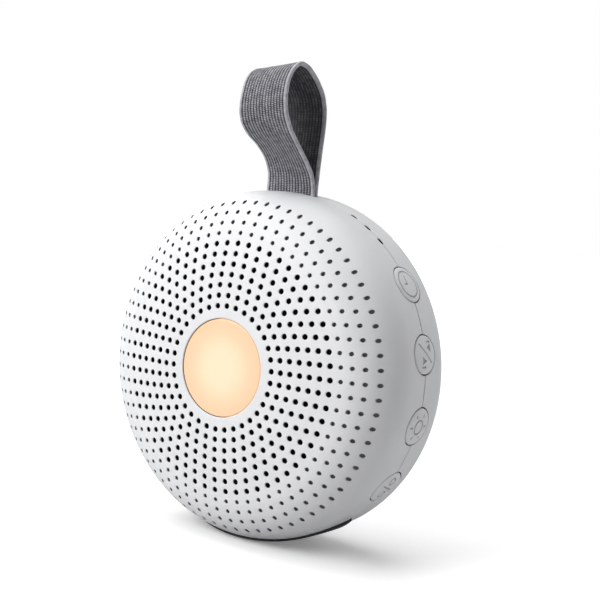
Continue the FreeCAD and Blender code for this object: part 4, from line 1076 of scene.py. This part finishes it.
def wedge(middle, radius, way, depth):
    """A tool for a sunk triangle that points in a direction."""
    bm = bmesh.new()
    made = stack(bm, 0, 0, 0, [(radius * 0.85, -depth), (radius, 0), (radius, ICON_ABOVE)], 3)
    bmesh.ops.rotate(bm, verts=made, matrix=Matrix.Rotation(way - math.pi / 3, 3, "Z"))
    bmesh.ops.translate(bm, verts=made, vec=(*middle, 0))
    return bm


def timer_icon(width, depth):
    """A clock: a ring with a long hand up the rim and a short hand to the front"""
    return [hoop((0, 0), 3.55, width, depth), bar((-0.1, -0.6), (2.0, -0.6), width, depth),
            bar((-0.1, -0.6), (-0.1, -1.7), width, depth)]


def sound_icon(width, depth):
    """Skip signs on both sides of a slash"""
    return [bar((2.7, -2.7), (-2.1, 2.8), width, depth), bar((3.2, 1.0), (3.2, 2.4), width, depth),
            wedge((1.7, 1.7), 1.25, math.pi, depth), bar((-3.1, -1.9), (-3.1, -0.3), width, depth),
            wedge((-1.5, -1.0), 1.25, 0, depth)]


def light_icon(width, depth):
    """A sun: a ring with six short rays"""
    tools = [hoop((0, 0), 1.8, width, depth)]
    for turns in range(6):
        way = math.radians(60 * turns + 30)
        ray = Vector((math.cos(way), math.sin(way)))
        tools.append(bar(ray * 2.95, ray * 3.45, width, depth))
    return tools


def volume_icon(width, depth):
    """Two rounded loops, one above and one below, with a slash between them"""
    return [bar((0.9, -2.3), (-0.9, 2.3), width, depth), hoop((2.2, 0.35), 1.1, width, depth),
            hoop((-2.2, -0.35), 1.1, width, depth)]


ICONS = {"timer": timer_icon, "sound": sound_icon, "light": light_icon, "volume": volume_icon}


def icon_painted_shade(mesh, face_height, face_radius):
    """Notes a grey of painted shade on the floors of the grooves in a button's face."""
    spots = points_of(mesh)
    sunk = (np.hypot(spots[:, 0], spots[:, 1]) < face_radius - 0.1) & (spots[:, 2] < face_height - 0.1)
    # The sunk spots get a grey: painted shade in the icon's grooves
    noted(mesh, "paint", sunk * ICON_SHADE)


def cap_outline():
    """A button's outline from the middle of its face to the end of its stem: radius and height."""
    button = settings().button
    radius, edge, proud = mm(button.radius), mm(button.edge_round), mm(button.proud)
    flange, drop = mm(button.flange), mm(button.flange_drop)
    stem, end = mm(button.stem_radius), mm(button.stem_drop)
    outline = [(reach, proud) for reach in np.linspace(0, radius - edge, 8)]
    for angle in (22.5, 45, 67.5, 90):
        lean = math.radians(angle)
        outline.append((radius - edge + edge * math.sin(lean), proud - edge + edge * math.cos(lean)))
    return outline + [(radius, -drop), (radius + flange, -drop), (radius + flange, -drop - flange),
                      (stem, -drop - flange), (stem, -end), (0, -end)]


class SOUND_MACHINE_OT_buttons(bpy.types.Operator):
    """Makes the four buttons, each a crowned cap with an engraved icon, a flange and a stem"""
    bl_idname = "sound_machine.buttons"
    bl_label = "Buttons"

    def execute(self, context):
        button = settings().button
        radius, proud = mm(button.radius), mm(button.proud)
        for name, angle in zip(BUTTONS, button_angles()):
            bm = bmesh.new()
            verts = [bm.verts.new((reach, 0, height)) for reach, height in cap_outline()]
            for pair in zip(verts, verts[1:]):
                bm.edges.new(pair)
            spun(bm, UP, CAP_AROUND)
            bmesh.ops.remove_doubles(bm, verts=bm.verts, dist=MERGE)
            cap = solid(bm, name)
            for tool in ICONS[name](mm(button.icon_width), mm(button.icon_depth)):
                bmesh.ops.translate(tool, verts=tool.verts, vec=(0, 0, proud))
                joined(cap, solid(tool, f"{name}_icon"), "DIFFERENCE")
            icon_painted_shade(cap.data, proud, radius - mm(button.edge_round))
            wrapped(cap.data.vertices, angle, mm(button.crown), radius)
            finished(cap, f"{name}_cap", "shell", f"{name}_key", [f"{name}_button"])
        return {"FINISHED"}


LENS_BACK_GAP = 0.2
LENS_RIM_DEPTH = 1


class SOUND_MACHINE_OT_lens(bpy.types.Operator):
    """Makes the night light's opal lens"""
    bl_idname = "sound_machine.lens"
    bl_label = "Night light lens"

    def execute(self, context):
        case, light = settings().case, settings().light
        radius, edge = mm(light.lens_radius), mm(light.lens_round)
        wall, rim = mm(light.lens_wall), mm(light.lens_rim)
        arcs = trimmed(half_arcs("front", mm(light.lens_inset)), 0, 0)
        centre, dome, _, last = arcs[-1]
        first = math.acos((radius - edge) / dome)
        bm = bmesh.new()
        vertex = bm.verts.new((*spot_on(arcs[-1], last), 0))
        vertex = swing(bm, vertex, centre, first - last, 10)
        vertex = swing(bm, vertex, (radius - edge, vertex.co.y - edge), -math.pi / 2, 4)
        back = mm(case.front_depth) - mm(case.wall) - mm(light.lens_inset) - LENS_BACK_GAP
        for reach, depth in ((radius, back), (radius + rim, back), (radius + rim, back - LENS_RIM_DEPTH),
                             (radius - wall, back - LENS_RIM_DEPTH), (radius - wall, back + wall / 3),
                             (0, back + wall / 3)):
            vertex = line_to(bm, vertex, reach, depth)
        spun(bm, TO_THE_BACK, LENS_AROUND)
        bmesh.ops.remove_doubles(bm, verts=bm.verts, dist=MERGE)
        bmesh.ops.scale(bm, vec=(1, -1, 1), verts=bm.verts)
        finished(solid(bm, "lens"), "lens_disc", "lens", "case", ["night_light_lens"])
        return {"FINISHED"}


# The webbing

# Its outside from the front strand over the top to the rear strand: how far forward of the slot as a
# share of the loop's reach (behind it as a share of its back), and its share of the rise. The loop is
# a little twisted, so its left and its right edge each have their own line.
LOOP_LEFT = ((0.07, 0.10), (0.16, 0.19), (0.26, 0.25), (0.44, 0.32), (0.70, 0.39), (0.87, 0.47),
             (0.94, 0.56), (0.945, 0.66), (0.91, 0.76), (0.86, 0.84), (0.76, 0.905), (0.58, 0.95),
             (0.39, 0.93), (0.17, 0.845), (-0.10, 0.74), (-0.90, 0.62), (-1.00, 0.48), (-0.80, 0.31),
             (-0.66, 0.15))
LOOP_RIGHT = ((0.14, 0.10), (0.32, 0.20), (0.55, 0.31), (0.79, 0.43), (0.95, 0.56), (1.01, 0.70),
              (0.99, 0.835), (0.87, 0.95), (0.68, 1.015), (0.45, 0.99), (0.20, 0.90), (-0.10, 0.785),
              (-0.95, 0.655), (-1.05, 0.51), (-0.82, 0.325), (-0.66, 0.15))
# How far the strands spread below the slot's mouth and how deep, in millimetres, and the angles where
# the webbing lies round the pin
THROAT = ((0, 0), (0, 1.5), (0, 3.4), (0.5, 5.2))
INSIDE_TURNS = (200, 225, 250, 270, 290, 315, 340)
STRAND_SLACK = 0.05
SMOOTHING = 90
PATH_STEPS = 640
# Samples: round the thickness in degrees, on the plain edge in millimetres, and per rib and row
EDGE_STEPS = (0.0, 22.5, 45.0, 67.5, 90.0)
PLAIN_STEPS = (0.35, 0.15)
RIB_SAMPLES = 3
ROW_SAMPLES = 3
# The weave: how square a rib is, how far the rows of the ribs are out of step and how that changes
# from rib to rib, how light the dips (painted shade) and the plain edge are, half the width of the
# groove beside it and how light that is (painted shade)
RIB_SHAPE = 0.7
ROW_DRIFT = 0.16
DRIFT_TURN = 2.1
DIP_LIGHT = 0.22
PLAIN_LIGHT = 0.8
GROOVE_HALF = 0.2
GROOVE_LIGHT = 0.05
# The inner side of the webbing is darker, as painted shade
INNER_SIDE_SHADE = 0.45


def even_line(path, steps):
    """A closed line of y and z divided into even steps, and its length."""
    closed = np.concatenate([path, path[:1]])
    reached = np.concatenate([[0], np.cumsum(np.hypot(*np.diff(closed, axis=0).T))])
    even = np.linspace(0, reached[-1], steps + 1)
    line = np.stack([np.interp(even, reached, closed[:, axis]) for axis in (0, 1)], axis=1)
    return line, reached[-1]


def webbing_line(shape):
    """The outside of the webbing as a closed line of y and z: down the rear strand, round the pin,
    up the front strand and round the loop. Also gives the height of the slot."""
    strap = settings().strap
    half = mm(strap.thickness) + STRAND_SLACK
    top = mm(settings().case.radius + strap.pivot)
    pin, around = mm(strap.pin_height), mm(strap.pin_radius) + half
    spots = [(half + out, top - down) for out, down in THROAT]
    for angle in reversed(INSIDE_TURNS):
        y, z = spot_at(around, angle)
        spots.append((y, pin + z))
    spots += [(-half - out, top - down) for out, down in reversed(THROAT)]
    for forward, height in shape:
        reach = mm(strap.reach if forward > 0 else strap.back)
        spots.append((-forward * reach, top + height * mm(strap.rise)))
    path = even_line(np.array(spots), PATH_STEPS)[0][:-1]
    for _ in range(SMOOTHING):
        path = (np.roll(path, 1, axis=0) + 2 * path + np.roll(path, -1, axis=0)) / 4
    return path, top


def cross_section():
    """Where the webbing's samples lie across one face, and half the thickness at each."""
    strap = settings().strap
    half_width, half = mm(strap.width) / 2, mm(strap.thickness) / 2
    span = half_width - mm(strap.selvedge)
    left = [-half_width + half * (1 - math.cos(math.radians(angle))) for angle in EDGE_STEPS]
    left += [-span - step for step in PLAIN_STEPS]
    columns = np.linspace(-span, span, strap.ribs * RIB_SAMPLES + 1)
    across = np.concatenate([left, columns, [-x for x in reversed(left)]])
    past = np.clip(np.abs(across) - (half_width - half), 0, None)
    return across, np.sqrt(np.clip(half ** 2 - past ** 2, 0, None)), span


def weave_at(across, along, span):
    """How far each spot lies under the crest of the yarn, in millimetres, and how light it is: darker in
    the grooves and dips as painted shade.
    """
    strap = settings().strap
    share = (across + span) / (2 * span) * strap.ribs
    rib = np.clip(np.floor(share + 1e-6), 0, strap.ribs - 1)
    crest = np.abs(np.sin(np.pi * (share - rib))) ** RIB_SHAPE
    row = along / mm(strap.row_pitch) + ROW_DRIFT * np.sin(rib * DRIFT_TURN)
    beat = 0.5 + 0.5 * np.cos(2 * np.pi * row)
    ribbed = np.abs(across) <= span + 1e-6
    deep = mm(strap.rib_depth) * (1 - crest) + mm(strap.row_depth) * crest * (1 - beat)
    light = np.where(ribbed, crest * (DIP_LIGHT + (1 - DIP_LIGHT) * beat), PLAIN_LIGHT)
    groove = np.abs(np.abs(across) - span) < GROOVE_HALF
    return (np.where(groove, mm(strap.rib_depth), np.where(ribbed, deep, 0)),
            np.where(groove, GROOVE_LIGHT, light))


class SOUND_MACHINE_OT_strap(bpy.types.Operator):
    """Makes the webbing loop as one ribbed ribbon that goes round the pin inside the case"""
    bl_idname = "sound_machine.strap"
    bl_label = "Webbing loop"

    def execute(self, context):
        strap = settings().strap
        left, top = webbing_line(LOOP_LEFT)
        right = webbing_line(LOOP_RIGHT)[0]
        total = even_line((left + right) / 2, PATH_STEPS)[1]
        long_count = round(total / mm(strap.row_pitch)) * ROW_SAMPLES
        edges = [even_line(line, long_count)[0] for line in (left, right)]
        across, bulge, span = cross_section()
        face = len(across)
        ring = 2 * face - 2
        # The columns go round the webbing: across its outer face, then back across its inner face
        order = np.concatenate([np.arange(face), np.arange(face - 2, 0, -1), [0]])
        side = np.concatenate([np.ones(face), -np.ones(face - 2), [1]])
        bm = bmesh.new()
        bm.loops.layers.uv.new("webbing")
        bmesh.ops.create_grid(bm, x_segments=ring, y_segments=long_count, size=0.5, calc_uvs=True)
        mesh = bpy.data.meshes.new("strap")
        bm.to_mesh(mesh)
        bm.free()
        spots = points_of(mesh)
        column = np.rint((spots[:, 0] + 0.5) * ring).astype(int)
        row = np.rint((spots[:, 1] + 0.5) * long_count).astype(int)
        x, inner = across[order[column]], side[column] < 0
        share = (0.5 + x / mm(strap.width))[:, None]
        ways = []
        for line in edges:
            way = np.roll(line[:-1], -1, axis=0) - np.roll(line[:-1], 1, axis=0)
            ways.append(np.concatenate([way, way[:1]])[row])
        y, z = (edges[0][row] * (1 - share) + edges[1][row] * share).T
        way = ways[0] * (1 - share) + ways[1] * share
        way /= np.hypot(*way.T)[:, None]
        # The line runs clockwise seen from +X, so its outside is on the left of its direction
        outward = np.stack([-way[:, 1], way[:, 0]], axis=1)
        # The tone noted here is painted shade: darker in the grooves, the dips and on the inner side
        sunk, light = weave_at(x, (row / ROW_SAMPLES + inner / 2) * mm(strap.row_pitch), span)
        light[inner & (np.abs(x) <= span)] *= INNER_SIDE_SHADE
        reach = side[column] * np.maximum(bulge[order[column]] - sunk, 0) - mm(strap.thickness) / 2
        spots = np.stack([x, y + outward[:, 0] * reach, z + outward[:, 1] * reach], axis=1)
        mesh.vertices.foreach_set("co", spots.ravel())
        noted(mesh, "weave_shade", light)
        uvs = np.empty(len(mesh.loops) * 2)
        mesh.uv_layers["webbing"].data.foreach_get("uv", uvs)
        uvs = uvs.reshape(-1, 2)
        travelled = np.concatenate([[0], np.cumsum(np.abs(np.diff(across[order])))])
        uvs[:, 0] = np.interp(uvs[:, 0] * ring, np.arange(ring + 1), travelled)
        uvs[:, 1] *= total
        mesh.uv_layers["webbing"].data.foreach_set("uv", (uvs * MM).ravel())
        bm = bmesh.new()
        bm.from_mesh(mesh)
        bmesh.ops.remove_doubles(bm, verts=bm.verts, dist=0.004)
        made = finished(solid(bm, "strap"), "webbing_loop", "webbing", None, ["strap_loop", "strap_root"])
        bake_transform(made)
        return {"FINISHED"}


class SOUND_MACHINE_OT_cad_finishes(bpy.types.Operator):
    """Gives each node of the frame that stays its finish"""
    bl_idname = "sound_machine.cad_finishes"
    bl_label = "Finishes of the inner pieces"

    def execute(self, context):
        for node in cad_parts.values():
            slot = node.data.materials[0].name.split(".")[0]
            node.data.materials[0] = finish_for(slot)
        return {"FINISHED"}


# The studio

CAMERA_AZIMUTH = 34.7508
CAMERA_ELEVATION = 4.4161
CAMERA_ROLL = -5.5874
CAMERA_LENS = 75.26
CAMERA_SPOT = (194.5, -271.71, 43.41)
# Soft lights that shine evenly: name, azimuth and elevation of where they come from in degrees, their
# spread in degrees and watts per square metre. Azimuth 0 is the front and 90 the side of the buttons.
LAMPS = (("key", -30, 30, 40, 2.40),
         ("top", -95, 71, 60, 2.25),
         ("back", 150, 20, 50, 0.90))
ROOM_LIGHT = 0.04
FLOOR_RADIUS = 4.0
# The floor looks white but throws back less light than that, as a table smaller than the room does
FLOOR_BOUNCE = 0.56
# To the camera it glows a little, as a light table does, which makes the shadows paler
FLOOR_GLOW = 0.2


def away_from(azimuth, elevation):
    """The way from the case to a viewer or a lamp, from angles in degrees."""
    azimuth, elevation = math.radians(azimuth), math.radians(elevation)
    return Vector((math.sin(azimuth) * math.cos(elevation), -math.cos(azimuth) * math.cos(elevation),
                   math.sin(elevation)))


def painted_floor():
    """A floor under matte white paint, rolled on so that it has a faint 2 mm stipple."""
    material, tree, shader, place = started("Painted_floor", Specular_IOR_Level=0.1)
    colour = varied(tree, place, colour_of("floor"), patch=60.0, amount=0.004)
    seen = add(tree, "ShaderNodeLightPath").outputs["Is Camera Ray"]
    both = add(tree, "ShaderNodeMix", {0: seen, 6: (FLOOR_BOUNCE,) * 3 + (1,), 7: colour},
               data_type="RGBA")
    shader.inputs["Emission Color"].default_value = linear("#FFFFFF")
    glow = add(tree, "ShaderNodeMath", {0: seen, 1: FLOOR_GLOW}, operation="MULTIPLY")
    feed(tree, shader, Base_Color=both.outputs[2], Emission_Strength=glow.outputs[0])
    grained(tree, shader, place, grain=2.0, depth=0.01, roughness=0.85, spread=0.04)
    return material


def room():
    """A world that is white to the camera and throws only a little light."""
    world = bpy.data.worlds.new("studio")
    world.use_nodes = True
    tree = world.node_tree
    tree.nodes.clear()
    path = add(tree, "ShaderNodeLightPath")
    light = add(tree, "ShaderNodeBackground", {"Color": linear("#F3F6FA"), "Strength": ROOM_LIGHT})
    seen = add(tree, "ShaderNodeBackground", {"Color": (1, 1, 1, 1), "Strength": 1.0})
    both = add(tree, "ShaderNodeMixShader", {0: path.outputs["Is Camera Ray"], 1: light.outputs[0],
                                             2: seen.outputs[0]})
    add(tree, "ShaderNodeOutputWorld", {"Surface": both.outputs[0]})
    return world


class SOUND_MACHINE_OT_studio(bpy.types.Operator):
    """Makes the floor, the soft lights and the camera"""
    bl_idname = "sound_machine.studio"
    bl_label = "Studio"

    def execute(self, context):
        scene = context.scene
        bm = bmesh.new()
        bmesh.ops.create_circle(bm, cap_ends=True, radius=FLOOR_RADIUS, segments=64)
        mesh = bpy.data.meshes.new("studio_floor")
        bm.to_mesh(mesh)
        bm.free()
        mesh.materials.append(painted_floor())
        floor = bpy.data.objects.new("studio_floor", mesh)
        scene.collection.objects.link(floor)
        scene.world = room()
        middle = Vector((0, 0, CASE_HEIGHT))
        for name, azimuth, elevation, spread, power in LAMPS:
            way = away_from(azimuth, elevation)
            lamp = bpy.data.lights.new(name, "SUN")
            lamp.angle = math.radians(spread)
            lamp.energy = power
            made = bpy.data.objects.new(name, lamp)
            made.location = middle + way
            made.rotation_euler = (-way).to_track_quat("-Z", "Y").to_euler()
            scene.collection.objects.link(made)
        lens = bpy.data.cameras.new("camera")
        lens.sensor_width = 36.0
        lens.lens = CAMERA_LENS
        lens.clip_start = 0.01
        lens.clip_end = 20.0
        camera = bpy.data.objects.new("camera", lens)
        azimuth, roll = math.radians(CAMERA_AZIMUTH), math.radians(CAMERA_ROLL)
        back = away_from(CAMERA_AZIMUTH, CAMERA_ELEVATION)
        right = Vector((math.cos(azimuth), math.sin(azimuth), 0))
        up = back.cross(right)
        camera_right = right * math.cos(roll) - up * math.sin(roll)
        camera_up = right * math.sin(roll) + up * math.cos(roll)
        facing = Matrix((camera_right, camera_up, back)).transposed().to_4x4()
        camera.matrix_world = Matrix.Translation(middle + Vector(CAMERA_SPOT) * MM) @ facing
        scene.collection.objects.link(camera)
        scene.camera = camera
        scene.view_settings.view_transform = "Standard"
        scene.view_settings.look = "None"
        return {"FINISHED"}


OPERATORS = (SOUND_MACHINE_OT_front_shell, SOUND_MACHINE_OT_rear_shell, SOUND_MACHINE_OT_buttons,
             SOUND_MACHINE_OT_lens, SOUND_MACHINE_OT_strap, SOUND_MACHINE_OT_cad_finishes,
             SOUND_MACHINE_OT_studio)


class SOUND_MACHINE_PT_panel(bpy.types.Panel):
    """Lists what makes the sound machine, with its sizes and colours"""
    bl_idname = "SOUND_MACHINE_PT_panel"
    bl_label = "Sound Machine"
    bl_space_type = "VIEW_3D"
    bl_region_type = "UI"
    bl_category = "Sound Machine"

    def draw(self, context):
        for group in SoundMachineSettings.__annotations__:
            box = self.layout.box()
            box.label(text=group.capitalize())
            part = getattr(context.scene.sound_machine, group)
            for name in part.__annotations__:
                box.prop(part, name, text=name.replace("_", " ").capitalize())
        for operator in OPERATORS:
            self.layout.operator(operator.bl_idname)


CLASSES = (CaseSizes, GrilleSizes, LightSizes, ButtonSizes, StrapSizes, PortSizes, MachineColours,
           SoundMachineSettings, *OPERATORS, SOUND_MACHINE_PT_panel)


def register():
    for each in CLASSES:
        bpy.utils.register_class(each)
    bpy.types.Scene.sound_machine = PointerProperty(type=SoundMachineSettings)


def unregister():
    del bpy.types.Scene.sound_machine
    for each in reversed(CLASSES):
        bpy.utils.unregister_class(each)


def main():
    register()
    bpy.ops.sound_machine.front_shell()
    bpy.ops.sound_machine.rear_shell()
    bpy.ops.sound_machine.buttons()
    bpy.ops.sound_machine.lens()
    bpy.ops.sound_machine.strap()
    bpy.ops.sound_machine.cad_finishes()
    bpy.ops.sound_machine.studio()


if __name__ == "__main__":
    main()
